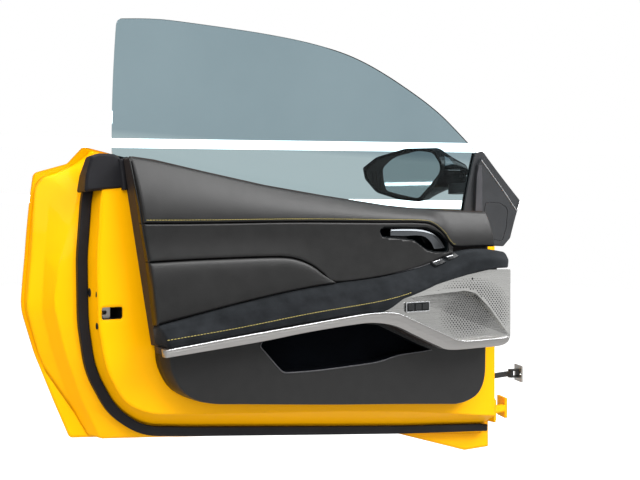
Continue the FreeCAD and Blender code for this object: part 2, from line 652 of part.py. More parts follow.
def window_switch(k):
    """Rocker on the sloping top of the armrest."""
    length, width, height = SWITCH
    tilt = math.degrees(math.atan2(ARMREST_THICK - PAD_THICK, ARMREST_SLOPE))
    profile = [V(-length / 2, 0, 0), V(-length / 2 + 3, 0, height), V(0, 0, height - 2), V(length / 2 - 3, 0, height),
               V(length / 2, 0, 0)]
    rocker = Part.Face(Part.makePolygon(profile + profile[:1])).extrude(V(0, width, 0))
    rocker.translate(V(0, -width / 2, 0))
    rocker.rotate(V(0, 0, 0), V(1, 0, 0), 90 - tilt)
    rise = math.degrees(math.atan2(SWITCH_PITCH[1], SWITCH_PITCH[0]))
    rocker.rotate(V(0, 0, 0), V(0, 1, 0), -rise)
    x, z = SWITCH_AT
    rocker.translate(V(x + SWITCH_PITCH[0] * k, carrier_y(PAD_THICK + 13), z + SWITCH_PITCH[1] * k))
    return rocker


def outer_handle():
    layer = skin_volume(-9).cut(skin_volume(0))
    return layer.common(slab(OUTER_HANDLE, 0, 200))


# Hinges and check arm

def door_leaf(z):
    plate = box(FRONT_FACE_X, FRONT_FACE_X + HINGE_PLATE, DOOR_LEAF_Y[0], DOOR_LEAF_Y[1],
                z - HINGE_HALF_HEIGHT, z + HINGE_HALF_HEIGHT)
    leaf = plate
    low = KNUCKLE_HALF + KNUCKLE_GAP
    for z0, z1 in ((z + low, z + HINGE_HALF_HEIGHT), (z - HINGE_HALF_HEIGHT, z - low)):
        web = box(FRONT_FACE_X, 0, -KNUCKLE_R, KNUCKLE_R, z0, z1)
        leaf = leaf.fuse([web, upright(KNUCKLE_R, 0, 0, z0, z1)])
    return leaf.cut(upright(PIN_R + PIN_FIT, 0, 0, z - 100, z + 100)).removeSplitter()


def pillar_leaf(z):
    f0, f1 = PILLAR_PLATE_F
    face = PILLAR_FACE_L
    back = face + HINGE_PLATE + 1
    plate = on_car([(f0, face, 0), (f1, face, 0), (f1, back, 3), (f0, back, 0)],
                   z - HINGE_HALF_HEIGHT, z + HINGE_HALF_HEIGHT)
    arm = on_car([(-KNUCKLE_R + 1, 0), (f0, back - 2), (f0 + 16, back - 2), (KNUCKLE_R - 1, 0)],
                 z - KNUCKLE_HALF, z + KNUCKLE_HALF)
    reach = HINGE_HALF_HEIGHT + KNUCKLE_GAP
    pin = upright(PIN_R, 0, 0, z - reach, z + reach)
    heads = [upright(PIN_HEAD_R, 0, 0, z + reach, z + reach + PIN_HEAD),
             upright(PIN_HEAD_R, 0, 0, z - reach - PIN_HEAD, z - reach)]
    leaf = plate.fuse([arm, upright(KNUCKLE_R, 0, 0, z - KNUCKLE_HALF, z + KNUCKLE_HALF), pin] + heads)
    middle = (f0 + f1) / 2
    for k in (-0.5, 0.5):
        leaf = leaf.cut(car_rod(BOLT_HOLE_R, middle + k * PILLAR_BOLT_PITCH, face - 5, back + 1, z))
    return leaf.removeSplitter()


def check_plate():
    f, _ = CHECK_PIVOT
    half = CHECK_PLATE / 2
    face = CHECK_FACE_L
    plate = on_car([(f - half, face), (f + half, face), (f + half, face + CHECK_PLATE_THICK),
                    (f - half, face + CHECK_PLATE_THICK)], CHECK_Z - half, CHECK_Z + half)
    for k in (-0.5, 0.5):
        plate = plate.cut(car_rod(CHECK_BOLT_R, f + k * CHECK_BOLT_PITCH, face - 5, face + 9, CHECK_Z))
    return plate


def check_clevis():
    """Fork that holds the check arm's pin, on the pillar's plate."""
    f, l = CHECK_PIVOT
    base = CHECK_FACE_L + CHECK_PLATE_THICK
    inner = CHECK_ARM_HEIGHT / 2 + KNUCKLE_GAP
    outer = inner + CHECK_EAR
    foot = on_car([(f - 9, base), (f + 9, base), (f + 9, base + 4), (f - 9, base + 4)], CHECK_Z - outer, CHECK_Z + outer)
    fork = foot
    x, y = car(f, l)
    for z0, z1 in ((CHECK_Z + inner, CHECK_Z + outer), (CHECK_Z - outer, CHECK_Z - inner)):
        ear = on_car([(f - CHECK_EAR_R, base + 3), (f + CHECK_EAR_R, base + 3), (f + CHECK_EAR_R, l), (f - CHECK_EAR_R, l)],
                     z0, z1)
        fork = fork.fuse([ear, upright(CHECK_EAR_R, x, y, z0, z1)])
    pin = upright(CHECK_PIN_R, x, y, CHECK_Z - outer, CHECK_Z + outer)
    return fork.fuse(pin).removeSplitter()


def check_arm():
    """Flat arm from the pillar's pin into the slot of the door, with a stop at its end."""
    x, y = car(*CHECK_PIVOT)
    aim = math.atan2(CHECK_SLOT_Y - y, FRONT_FACE_X - x)
    half = CHECK_ARM_THICK / 2
    z0 = CHECK_Z - CHECK_ARM_HEIGHT / 2
    bar = Part.makeBox(CHECK_ARM_LENGTH, 2 * half, CHECK_ARM_HEIGHT, V(0, -half, z0))
    stop = Part.makeBox(CHECK_STOP[0], CHECK_STOP[1], CHECK_ARM_HEIGHT,
                        V(CHECK_ARM_LENGTH - CHECK_STOP[0], -CHECK_STOP[1] / 2, z0))
    eye = Part.makeCylinder(CHECK_EAR_R - 1, CHECK_ARM_HEIGHT, V(0, 0, z0))
    arm = bar.fuse([stop, eye]).cut(Part.makeCylinder(CHECK_PIN_R + PIN_FIT, 100, V(0, 0, z0 - 20)))
    arm.rotate(V(0, 0, 0), V(0, 0, 1), math.degrees(aim))
    arm.translate(V(x, y, 0))
    return arm.removeSplitter()


# Mirror

def mirror_place(depth):
    """Puts (outward, up) on the mirror's face at a depth towards the front."""
    c = math.cos(math.radians(MIRROR_TOE))
    s = math.sin(math.radians(MIRROR_TOE))
    x, y, z = MIRROR_MID
    return lambda u, v: V(x - s * u + c * depth, y + c * u + s * depth, z + v)


def mirror_layer(points, depth0, depth1):
    face = Part.Face(outline(points, mirror_place(depth0)))
    return face.extrude(mirror_place(depth1)(0, 0) - mirror_place(depth0)(0, 0))


def mirror_housing():
    """Housing lofted through its sections, open at the face and cut round the foot below it."""
    body = Part.makeLoft([outline(points, mirror_place(depth)) for depth, points in MIRROR_SECTIONS], True, True)
    x, y = MIRROR_PIVOT
    floor = MIRROR_FOOT_Z[1] + MIRROR_SPLIT
    boss = upright(MIRROR_BOSS_R, x, y, floor, floor + 22)
    below = upright(MIRROR_BOSS_R + MIRROR_CLEAR, x, y, 400, floor)
    recess = mirror_layer(inset(MIRROR_SECTIONS[0][1], MIRROR_RIM), -1, MIRROR_RECESS)
    return body.fuse(boss).cut([recess, below, mirror_pin(PIN_FIT, 0.5)])


def mirror_pin(grown, longer):
    x, y = MIRROR_PIVOT
    z0 = MIRROR_FOOT_Z[1] - 4
    return upright(MIRROR_PIN_R + grown, x, y, z0 - longer, z0 + 22 + longer)


def mirror_glass():
    return mirror_layer(MIRROR_GLASS, 2, 5)


def mirror_backing():
    """Carrier plate behind the glass, which fills the mouth of the housing, with fins beside it."""
    plate = mirror_layer(inset(MIRROR_SECTIONS[0][1], MIRROR_RIM + 0.3), 5, MIRROR_RECESS)
    fins = [mirror_layer([(u, low, 0), (u + 5, low, 0), (u + 9, high, 0), (u + 4, high, 0)], 1, 5)
            for u, low, high in MIRROR_FINS]
    return plate.fuse(fins)


def mirror_foot():
    """Foot on the sail plate, with the pin that the head folds about."""
    x, y = MIRROR_PIVOT
    z0, z1 = MIRROR_FOOT_Z
    r = MIRROR_BOSS_R
    neck = prism([(x - r - 8, 0, 4), (x + r + 8, 0, 4), (x + r, y, 0), (x - r, y, 0)], z0, z1)
    neck = neck.cut([glass_bar(GLASS_RADIUS + 3), skin_volume(0)])
    return neck.fuse([upright(r, x, y, z0, z1), mirror_pin(0, 0)])


def socket():
    """Cable socket on the front face, between the hinges."""
    deep, wide, tall = SOCKET
    y, z = SOCKET_AT
    x = FRONT_FACE_X
    body = box(x, x + deep, y - wide / 2, y + wide / 2, z - tall / 2, z + tall / 2)
    half_wide, half_tall = wide / 2 - SOCKET_WALL, tall / 2 - SOCKET_WALL
    return body.cut(box(x + 3, x + deep + 1, y - half_wide, y + half_wide, z - half_tall, z + half_tall))


PARTS = {
    "outer_skin": outer_skin,
    "inner_shell": inner_shell,
    "perimeter_seal": perimeter_seal,
    "corner_cap": corner_cap,
    "latch": latch,
    "latch_claw": latch_claw,
    "window_glass": window_glass,
    "waist_seal_inner": waist_seal_inner,
    "waist_seal_outer": waist_seal_outer,
    "sail_plate": sail_plate,
    "sail_panel": sail_panel,
    "trim_carrier": trim_carrier,
    "trim_upper": trim_upper,
    "trim_mid": trim_mid,
    "trim_pad": trim_pad,
    "armrest": armrest,
    "blade": blade,
    "lower_trim": lower_trim,
    "pocket_liner": pocket_liner,
    "speaker_grille": speaker_grille,
    "speaker_box": speaker_box,
    "speaker": speaker,
    "handle_bezel": handle_bezel,
    "handle_lever": handle_lever,
    "memory_switch": memory_switch,
    "outer_handle": outer_handle,
    "check_plate": check_plate,
    "check_clevis": check_clevis,
    "check_arm": check_arm,
    "mirror_housing": mirror_housing,
    "mirror_glass": mirror_glass,
    "mirror_backing": mirror_backing,
    "mirror_foot": mirror_foot,
    "cable_socket": socket,
}
for number in range(3):
    PARTS["memory_button_%d" % (number + 1)] = lambda k=number: memory_button(k)
for number in range(2):
    PARTS["window_switch_%d" % (number + 1)] = lambda k=number: window_switch(k)
for name, height in HINGE_Z.items():
    PARTS["hinge_door_leaf_" + name] = lambda z=height: door_leaf(z)
    PARTS["hinge_pillar_leaf_" + name] = lambda z=height: pillar_leaf(z)

os.makedirs("parts", exist_ok=True)
mount_f = sum(PILLAR_PLATE_F) / 2
mount_x, mount_y = car(mount_f, PILLAR_FACE_L)
for name, make in PARTS.items():
    shape = make()
    shape.translate(V(-mount_x, -mount_y, -HINGE_Z["lower"]))
    shape.exportStep("parts/" + name + ".step")
    print(name, len(shape.Solids), round(shape.Volume / 1000, 1), shape.isValid())
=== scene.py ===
import json
import math

import bmesh
import bpy
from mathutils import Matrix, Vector


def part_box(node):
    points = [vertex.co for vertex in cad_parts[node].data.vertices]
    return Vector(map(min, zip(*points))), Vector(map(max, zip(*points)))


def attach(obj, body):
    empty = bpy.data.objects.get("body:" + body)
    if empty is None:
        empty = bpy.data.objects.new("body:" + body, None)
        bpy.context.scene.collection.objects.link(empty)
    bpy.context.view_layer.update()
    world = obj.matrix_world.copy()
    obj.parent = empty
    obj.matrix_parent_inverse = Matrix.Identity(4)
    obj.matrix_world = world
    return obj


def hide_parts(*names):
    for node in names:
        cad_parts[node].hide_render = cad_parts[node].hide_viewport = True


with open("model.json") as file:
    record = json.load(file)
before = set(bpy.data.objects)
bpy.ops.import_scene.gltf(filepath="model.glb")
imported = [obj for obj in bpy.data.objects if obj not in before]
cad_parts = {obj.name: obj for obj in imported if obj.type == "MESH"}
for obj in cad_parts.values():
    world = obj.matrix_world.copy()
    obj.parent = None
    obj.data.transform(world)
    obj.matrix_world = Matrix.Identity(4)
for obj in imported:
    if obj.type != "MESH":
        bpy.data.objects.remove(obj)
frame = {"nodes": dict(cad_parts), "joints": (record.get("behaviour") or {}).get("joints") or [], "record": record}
nodes = frame["nodes"]
joints = {j["name"]: j for j in frame["joints"]}
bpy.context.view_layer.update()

# Door axes in millimetres: hinge axis at x = 0, y = 0, +X the front of the open door, +Y its outer
# side and +Z up. The lower hinge stands at LOWER_HINGE_Z.
LOWER_HINGE_Z = -15.0
HINGE = Vector(joints["door_swing"]["pos_m"])

# Camera, from the photograph's vanishing lines and the door's size
CAMERA_AT = (-1672.5, -1541.7, 464.0)
CAMERA_TURN = 35.0
FOCAL_PX = 788.0
FRAME_PX = 640.0

# Room: floor height in door axes, strength of the white walls as light and in reflections
FLOOR_Z = -296.0
ROOM_LIGHT = 0.55
ROOM_GLOSS = 0.36
FLOOR_CORNERS = ((-9000, -6000), (9000, -6000), (9000, 12000), (-9000, 12000))

# Lamps as (name, place, target, size in metres, watts)
LAMPS = (
    ("ceiling", (-700, -900, 2600), (-600, -50, 300), (4.0, 3.0), 165),
    ("left_panel", (-3600, -1400, 900), (-700, -50, 300), (2.0, 2.6), 5),
    ("behind_camera", (-3000, -3000, 1700), (-600, 0, 300), (2.4, 2.0), 40),
    ("key", (1450, -2200, 2450), (-600, -50, 450), (4.0, 1.3), 135),
    ("low_right", (2000, -2400, 0), (-250, -120, 300), (1.8, 0.8), 1.7),
)

# White strips on the far wall: each end as (x, y, rise), then each strip as (height, half width)
STRIP_ENDS = ((-2000, 6000, 67), (9000, -1700, -111))
STRIPS = ((1175, 35), (742, 30))
STRIP_GLOW = 7.0

# Planes behind the door that the mirror shows, as (name, glow, x, foot, top)
MIRRORED = (("mirror_view", 0.5, -5070, 500, 1600), ("mirror_line", 5.0, -5040, 966, 992))
MIRRORED_Y = (200, 1700)

# Window glass: its top edge and foot as (x, z), the axis of its bend as (y, z), its radius and half
# its thickness. Below GLASS_STEP, in metres in the row's frame, it is paler.
GLASS_STEP = 0.69
GLASS_FADE = 0.01
GLASS_EDGE = [(-1136, 880), (-1070, 889), (-1003, 893), (-819, 896.7), (-677, 892.5), (-556, 877),
              (-416, 840), (-261, 785), (-99, 704)]
GLASS_FOOT = ((-1092, 490), (-99, 490))
GLASS_CORNER = 11.0
GLASS_AXIS = (-1163.4, 305.7)
GLASS_BEND = 1200.0
GLASS_HALF = 2.0
GLASS_CELLS = (120, 24)

# Radius in metres that softens the edges of metal
METAL_EDGE = 0.0006

# Rings of a stitch: share of its length along the seam, then width and lift as shares of its radius
STITCH_RINGS = ((-0.5, 0.35, -0.2), (-0.36, 1.0, 0.45), (0.0, 1.1, 0.45), (0.36, 1.0, 0.45),
                (0.5, 0.35, -0.2))

# Depths of the trim, as in the model
SHELL_Y = -40.0
CARRIER_Y = -80.0
PAD_Y = -100.0
SEAM_Y = -108.0
GRILLE_Y = -127.0
ARMREST_Y = -147.0
BLADE_Y = -149.0
SEAM_GAP = 0.7
SEAM_ROLL = 5.0

# Lines of the trim in side view, as (x, z), from rear to front
TRIM_TOP = [(-1099, 627), (-1049, 622), (-939, 605), (-795, 583), (-635, 565), (-457, 548), (-327, 542),
            (-112, 539)]
SEAM_1 = [(-1080, 496), (-959, 498), (-717, 504), (-490, 506), (-370, 507), (-325, 501), (-288, 479),
          (-262, 452), (-236, 446), (-150, 448), (-106, 446)]
SEAM_1_END = -252.0
SEAM_1_FOOT_Z = 430.0
STITCH_END = -430.0
SEAM_2 = [(-1067, 421), (-959, 425), (-800, 428), (-738, 425), (-690, 410), (-655, 388), (-620, 368)]
ARMREST_TOP = [(-1052, 296), (-959, 314), (-869, 331), (-740, 352), (-620, 366), (-488, 377),
               (-371, 396), (-300, 416), (-230, 436), (-150, 442), (-66, 433)]
ARMREST_FOLD = [(-1050, 271), (-895, 285), (-718, 305), (-499, 326), (-371, 356), (-281, 392),
                (-200, 416), (-66, 412)]
ARMREST_FOOT = [(-1040, 254), (-897, 270), (-738, 285), (-600, 296), (-508, 299), (-440, 331),
                (-374, 349), (-235, 377), (-150, 389), (-66, 390)]
BLADE_TOP = [(-1054, 254), (-897, 269), (-738, 283), (-600, 295), (-540, 298), (-478, 294), (-420, 273),
             (-320, 233), (-267, 215), (-180, 212), (-92, 212)]
BLADE_FOOT = [(-1052, 239), (-849, 254), (-729, 266), (-600, 275), (-540, 275), (-480, 264), (-420, 239),
              (-350, 209), (-304, 195), (-200, 192), (-126, 192), (-100, 199)]
HANDLE_BEZEL = [(-497, 488, 8), (-486, 470, 10), (-430, 466, 30), (-384, 461, 30), (-344, 438, 20),
                (-318, 432, 10), (-268, 432, 8), (-272, 462, 20), (-304, 484, 40), (-346, 496, 40),
                (-480, 496, 6)]
REST_PAD_END = -622.0
ARMREST_REARS = (-1052, -1055, -1046)
ARMREST_END = -66.0
NOSE_FROM = -175.0
NOSE_REACH = 34.0
ARMREST_ROLL = 6.0
BLADE_ENDS = ((-1054, -94), (-1052, -102))
LEVER_TOP = [(-457, 491), (-415, 492.5), (-372, 492), (-330, 486), (-298, 470), (-276, 444)]
LEVER_FOOT = [(-457, 473), (-412, 472.5), (-376, 474), (-347, 471), (-325, 457), (-314, 441)]
LEVER_BACK = -91.0
BLADE_BACK = -127.2

# Lower panel: its rear and bottom edge in front and at the shell, its front edge, its top and the pocket
LOWER_Y = -84.0
LOWER_MIDDLE = (-600.0, 180.0)
LOWER_FACE = [(-1018, 250), (-1017, 225), (-1011, 198), (-995, 168), (-968, 143), (-922, 126),
              (-840, 115), (-621, 88), (-400, 63), (-232, 43)]
LOWER_BASE = [(-1030, 250), (-1029, 222), (-1020, 194), (-1000, 162), (-966, 139), (-921, 123),
              (-840, 112), (-621, 85), (-400, 60), (-232, 41)]
LOWER_FRONT = [(-232, 42), (-190, 44), (-150, 56), (-128, 78), (-117, 110), (-115, 160), (-114, 208)]
LOWER_TOP = [(-114, 208), (-267, 212), (-330, 236), (-420, 272), (-478, 291), (-540, 294), (-600, 290),
             (-738, 278), (-897, 263), (-1018, 250)]
POCKET = [(-810, 236, 12), (-758, 180, 12), (-740, 173, 12), (-654, 170, 60), (-475, 174, 80),
          (-428, 184, 40), (-349, 187, 40), (-306, 188, 6), (-352, 205, 30), (-484, 262, 50),
          (-560, 272, 60), (-729, 263, 60), (-798, 256, 8)]
POCKET_LIP = [(-803, 246), (-808, 236), (-795, 221), (-760, 183), (-749, 175), (-735, 172.5),
              (-654, 170), (-520, 172), (-475, 175), (-440, 181), (-410, 185), (-349, 187), (-310, 189)]

# Bead at the cap, rear edge of the pads, and a rubber stop and two dark discs beside the latch, the discs painted
# shade of holes, as (x, z) lines or (x, y, z) places
CAP_BEAD = [(-1095, 563), (-1096, 575), (-1099, 600), (-1103, 624)]
CAP_BEAD_Y = -42.5
PIPING = [(-1101, 622), (-1094, 580), (-1083, 510), (-1078, 480), (-1067, 421), (-1056, 350),
          (-1048, 300), (-1043, 262)]
STOP_AND_HOLE_SHADES = (("stop_plug", (-1152.5, -4.0, 360.0), 8.0, 9.0),
         # Two dark discs that stand for holes: their darkness is painted shade
         ("hole_shade_upper", (-1148.5, -33.0, 358.0), 4.0, 6.5),
         ("hole_shade_lower", (-1148.0, -33.0, 296.0), 4.0, 6.5))

# Sail panel, with its face as (z, y), mirror and window switches, as (x, z) lines or (x, y, z) places
# SAIL_WELT: line of the welt whose pale colour is a painted highlight on the sail panel's sloping edge
SAIL_WELT = [(-84, 681), (-66, 669), (-15, 634), (37, 597), (85, 559), (98, 549)]
SAIL_FACE = [(450, 13.0), (464, 12.0), (559, -4.7), (575, -8.3), (597, -13.7), (634, -23.7),
             (669, -34.4), (690, -41)]
SAIL_BAND = [(-89, 668), (-80, 668), (-64, 628), (-50, 575), (-42, 545), (-70, 545), (-79, 590), (-88, 640)]
LENS = ((-93, 99, 703), (-84, 93, 698), (-72, 80, 679), (-103, 87, 673))
# CREASE: ends of a pale strip on the mirror housing, a painted highlight along its crease
CREASE = ((-92, 84, 663), (-50, 75.5, 664))
SWITCH_LIPS = (((-331, -112.5, 409), (-318, -111, 412.3), (-303, -113.5, 416.5)),
               ((-286, -112.5, 421.5), (-269, -112.5, 425), (-254, -113, 427)))
# PULL_CREASE: line of a grey bar whose paler tone is a painted highlight along the leather's crease
PULL_CREASE = [(-447, 385), (-400, 392.5), (-371, 397.5), (-331, 406.5)]

# Grille with a dish that is flush along DISH_FOOT and falls DISH_SLOPE in one
GRILLE_EDGE = [(-68, 388, 6), (-150, 388, 60), (-235, 376, 100), (-374, 349, 100), (-440, 332, 60),
               (-486, 314, 20), (-508, 297, 4), (-478, 296, 20), (-267, 211.8, 20), (-68, 211.8, 4)]
LEAF = [(-425, 326, 4), (-374, 330, 60), (-235, 337, 60), (-196, 328, 30), (-146, 288, 60), (-72, 212, 4)]
DISH_FOOT = ((-425.0, 326.0), (-72.0, 212.0))
DISH_SLOPE = 0.21
DISH_DEPTH = 22.0
# Painted shade in the grille's base colour: its factor just below the dish's foot line and at the dish's deepest
FOOT_SHADE = 0.72
DISH_SHADE = 0.36
GRILLE_THICK = 3.0
HOLE_FIELD_AT = (-217.0, 279.0)
HOLE_FIELD = (106.0, 62.0)
FLAT_FIELD = 1.45
HOLE_PITCH = (10.0, 5.1)
HOLE_R = 2.3
STUD_AT = (-210.0, 366.0)
STUD_R = 3.4
DISH_TOP = [(-425, 326), (-374, 332), (-300, 337), (-235, 338), (-196, 330), (-146, 290), (-72, 212)]
DISH_TOP_CLEAR = 5.0


def at(x, y, z):
    """Row-frame point, in metres, of a point in door axes."""
    return HINGE + Vector((x, y, z - LOWER_HINGE_Z)) / 1000


# Studio

def make_camera():
    """Level camera at the photograph's place."""
    data = bpy.data.cameras.new("camera")
    data.sensor_width = 36.0
    data.lens = FOCAL_PX / FRAME_PX * data.sensor_width
    data.clip_end = 100
    camera = bpy.data.objects.new("camera", data)
    camera.location = at(*CAMERA_AT)
    camera.rotation_euler = (math.radians(90), 0, math.radians(-CAMERA_TURN))
    bpy.context.scene.collection.objects.link(camera)
    bpy.context.scene.camera = camera


def lamp(name, place, target, size, energy):
    """Area light in door axes, seen neither directly nor through the glass."""
    data = bpy.data.lights.new(name, "AREA")
    data.shape = "RECTANGLE"
    data.size, data.size_y = size
    data.energy = energy
    light = bpy.data.objects.new(name, data)
    light.location = at(*place)
    aim = at(*target) - light.location
    light.rotation_euler = aim.to_track_quat("-Z", "Y").to_euler()
    light.visible_camera = False
    light.visible_transmission = False
    bpy.context.scene.collection.objects.link(light)


def make_world():
    """White room: plain white where it is seen, softer in reflections and softer still as light."""
    world = bpy.data.worlds.new("world")
    bpy.context.scene.world = world
    world.use_nodes = True
    tree = world.node_tree
    background = tree.nodes["Background"]
    background.inputs["Color"].default_value = (1, 1, 1, 1)
    path = tree.nodes.new("ShaderNodeLightPath")
    seen = node(tree, "ShaderNodeMath", operation="MAXIMUM")
    tree.links.new(path.outputs["Is Camera Ray"], seen.inputs[0])
    tree.links.new(path.outputs["Is Transmission Ray"], seen.inputs[1])
    mirrored = span(tree, path.outputs["Is Glossy Ray"], ROOM_LIGHT, ROOM_GLOSS)
    strength = node(tree, "ShaderNodeMath", operation="MAXIMUM")
    tree.links.new(seen.outputs[0], strength.inputs[0])
    tree.links.new(mirrored, strength.inputs[1])
    tree.links.new(strength.outputs[0], background.inputs["Strength"])


def emitter(name, strength):
    """Glowing material."""
    mat = bpy.data.materials.new(name)
    mat.use_nodes = True
    tree = mat.node_tree
    tree.nodes.clear()
    glow = tree.nodes.new("ShaderNodeEmission")
    glow.inputs["Strength"].default_value = strength
    out = tree.nodes.new("ShaderNodeOutputMaterial")
    tree.links.new(glow.outputs[0], out.inputs["Surface"])
    return mat


def met_only_by(mat, *rays):
    """Glow that one or two kinds of ray meet; every other ray passes, so that it lights nothing."""
    tree = mat.node_tree
    clear = tree.nodes.new("ShaderNodeBsdfTransparent")
    choice = tree.nodes.new("ShaderNodeMixShader")
    path = tree.nodes.new("ShaderNodeLightPath")
    chosen = node(tree, "ShaderNodeMath", operation="MAXIMUM")
    chosen.inputs[1].default_value = 0.0
    for k, ray in enumerate(rays):
        tree.links.new(path.outputs[ray], chosen.inputs[k])
    tree.links.new(chosen.outputs[0], choice.inputs[0])
    tree.links.new(clear.outputs[0], choice.inputs[1])
    tree.links.new(tree.nodes["Emission"].outputs[0], choice.inputs[2])
    tree.links.new(choice.outputs[0], tree.nodes["Material Output"].inputs["Surface"])
    return mat


def plane(name, corners, mat):
    """Flat piece of the stage through corners in door axes."""
    mesh = bpy.data.meshes.new(name)
    mesh.from_pydata([at(*c) for c in corners], [], [(0, 1, 2, 3)])
    mesh.materials.append(mat)
    obj = bpy.data.objects.new(name, mesh)
    bpy.context.scene.collection.objects.link(obj)


def floor_material():
    """Pale floor that glows for the camera and keeps its shadows."""
    mat, tree, shader = principled("floor", (0.38, 0.38, 0.38), 0.6)
    path = tree.nodes.new("ShaderNodeLightPath")
    glow = tree.nodes.new("ShaderNodeMix")
    glow.data_type = "FLOAT"
    glow.inputs[2].default_value = 0.0
    glow.inputs[3].default_value = 0.9
    tree.links.new(path.outputs["Is Camera Ray"], glow.inputs[0])
    tree.links.new(glow.outputs[0], shader.inputs["Emission Strength"])
    shader.inputs["Emission Color"].default_value = (1, 1, 1, 1)
    return mat


def make_stage():
    """Floor, wall strips and the planes that the mirror shows."""
    plane("floor", [(x, y, FLOOR_Z) for x, y in FLOOR_CORNERS], floor_material())
    (x0, y0, rise0), (x1, y1, rise1) = STRIP_ENDS
    for height, half in STRIPS:
        left, right = height + rise0, height + rise1
        name = "strip_%d" % height
        corners = [(x0, y0, left - half), (x1, y1, right - half), (x1, y1, right + half),
                   (x0, y0, left + half)]
        plane(name, corners, met_only_by(emitter(name, STRIP_GLOW), "Is Camera Ray", "Is Transmission Ray"))
    near, far = MIRRORED_Y
    for name, strength, x, low, high in MIRRORED:
        corners = [(x, near, low), (x, far, low), (x, far, high), (x, near, high)]
        plane(name, corners, met_only_by(emitter(name, strength), "Is Glossy Ray"))


# Materials

def principled(name, colour, rough, metal=0.0):
    """New material with its node tree and shader."""
    mat = bpy.data.materials.new(name)
    mat.use_nodes = True
    tree = mat.node_tree
    shader = tree.nodes["Principled BSDF"]
    shader.inputs["Base Color"].default_value = (*colour, 1)
    shader.inputs["Roughness"].default_value = rough
    shader.inputs["Metallic"].default_value = metal
    return mat, tree, shader


def node(tree, kind, **values):
    """New node, each value set on the input or property of its name."""
    made = tree.nodes.new(kind)
    for key, value in values.items():
        if key in made.inputs:
            made.inputs[key].default_value = value
        else:
            setattr(made, key, value)
    return made


def place(tree, scale=(1, 1, 1)):
    """Object coordinates in metres, stretched by scale."""
    coords = tree.nodes.new("ShaderNodeTexCoord")
    mapping = tree.nodes.new("ShaderNodeMapping")
    mapping.inputs["Scale"].default_value = scale
    tree.links.new(coords.outputs["Object"], mapping.inputs["Vector"])
    return mapping.outputs["Vector"]


def noise(tree, vector, scale, detail=3.0, rough=0.5):
    """Value of a noise texture over vector."""
    made = node(tree, "ShaderNodeTexNoise", Scale=scale, Detail=detail, Roughness=rough)
    tree.links.new(vector, made.inputs["Vector"])
    return made.outputs["Fac"]


def ramp(tree, value, stops):
    """Colour ramp through (position, colour) stops."""
    made = tree.nodes.new("ShaderNodeValToRGB")
    bar = made.color_ramp
    bar.elements[0].position, bar.elements[0].color = stops[0][0], (*stops[0][1], 1)
    bar.elements[1].position, bar.elements[1].color = stops[-1][0], (*stops[-1][1], 1)
    for position, colour in stops[1:-1]:
        bar.elements.new(position).color = (*colour, 1)
    tree.links.new(value, made.inputs["Fac"])
    return made.outputs["Color"]


def span(tree, value, low, high, start=0.0, end=1.0):
    """A value from start to end brought between low and high."""
    made = node(tree, "ShaderNodeMapRange")
    for name, limit in (("From Min", start), ("From Max", end), ("To Min", low), ("To Max", high)):
        made.inputs[name].default_value = limit
    tree.links.new(value, made.inputs["Value"])
    return made.outputs["Result"]


def soft_edge(tree, shader, radius):
    """Normal that rounds the model's edges by radius."""
    made = node(tree, "ShaderNodeBevel", Radius=radius)
    made.samples = 4
    tree.links.new(made.outputs["Normal"], shader.inputs["Normal"])
    return made.outputs["Normal"]


def bump(tree, shader, height, strength, distance, under=None):
    """Relief on the shader's normal, over the normal under it."""
    made = node(tree, "ShaderNodeBump", Strength=strength, Distance=distance)
    tree.links.new(height, made.inputs["Height"])
    if under is not None:
        tree.links.new(under, made.inputs["Normal"])
    tree.links.new(made.outputs["Normal"], shader.inputs["Normal"])
    return made.outputs["Normal"]


def paint():
    """Yellow body paint under a thin clear coat."""
    mat, tree, shader = principled("body_paint", (0.96, 0.44, 0.0), 0.45)
    shader.inputs["Specular IOR Level"].default_value = 0.05
    shader.inputs["Coat Weight"].default_value = 0.1
    shader.inputs["Coat Roughness"].default_value = 0.05
    vector = place(tree)
    tone = ramp(tree, noise(tree, vector, 14.0), [(0.35, (0.95, 0.435, 0.0)), (0.65, (0.97, 0.445, 0.0))])
    tree.links.new(tone, shader.inputs["Base Color"])
    edge = soft_edge(tree, shader, 0.01)
    bump(tree, shader, noise(tree, vector, 420.0, 2.0), 0.03, 0.0003, edge)
    return mat


def leather(name, dark, light, grain, depth):
    """Grained surface of small cells, in tones from dark to light."""
    mat, tree, shader = principled(name, dark, 0.4)
    shader.inputs["Specular IOR Level"].default_value = 0.34
    vector = place(tree)
    cells = node(tree, "ShaderNodeTexVoronoi", Scale=grain)
    cells.feature = "DISTANCE_TO_EDGE"
    warp = node(tree, "ShaderNodeTexNoise", Scale=grain * 0.6, Detail=2.0)
    tree.links.new(vector, warp.inputs["Vector"])
    mixed = node(tree, "ShaderNodeMix")
    mixed.data_type = "VECTOR"
    mixed.inputs[0].default_value = 0.0016
    tree.links.new(vector, mixed.inputs[4])
    tree.links.new(warp.outputs["Color"], mixed.inputs[5])
    tree.links.new(mixed.outputs[1], cells.inputs["Vector"])
    height = span(tree, cells.outputs["Distance"], 0.0, 1.0)
    tone = ramp(tree, noise(tree, vector, 30.0, 6.0), [(0.3, dark), (0.7, light)])
    tree.links.new(tone, shader.inputs["Base Color"])
    tree.links.new(span(tree, noise(tree, vector, 60.0, 4.0), 0.36, 0.46), shader.inputs["Roughness"])
    fine = bump(tree, shader, noise(tree, vector, grain * 2.5, 2.0), 0.25, 0.0002)
    bump(tree, shader, height, depth, 0.0005, fine)
    return mat


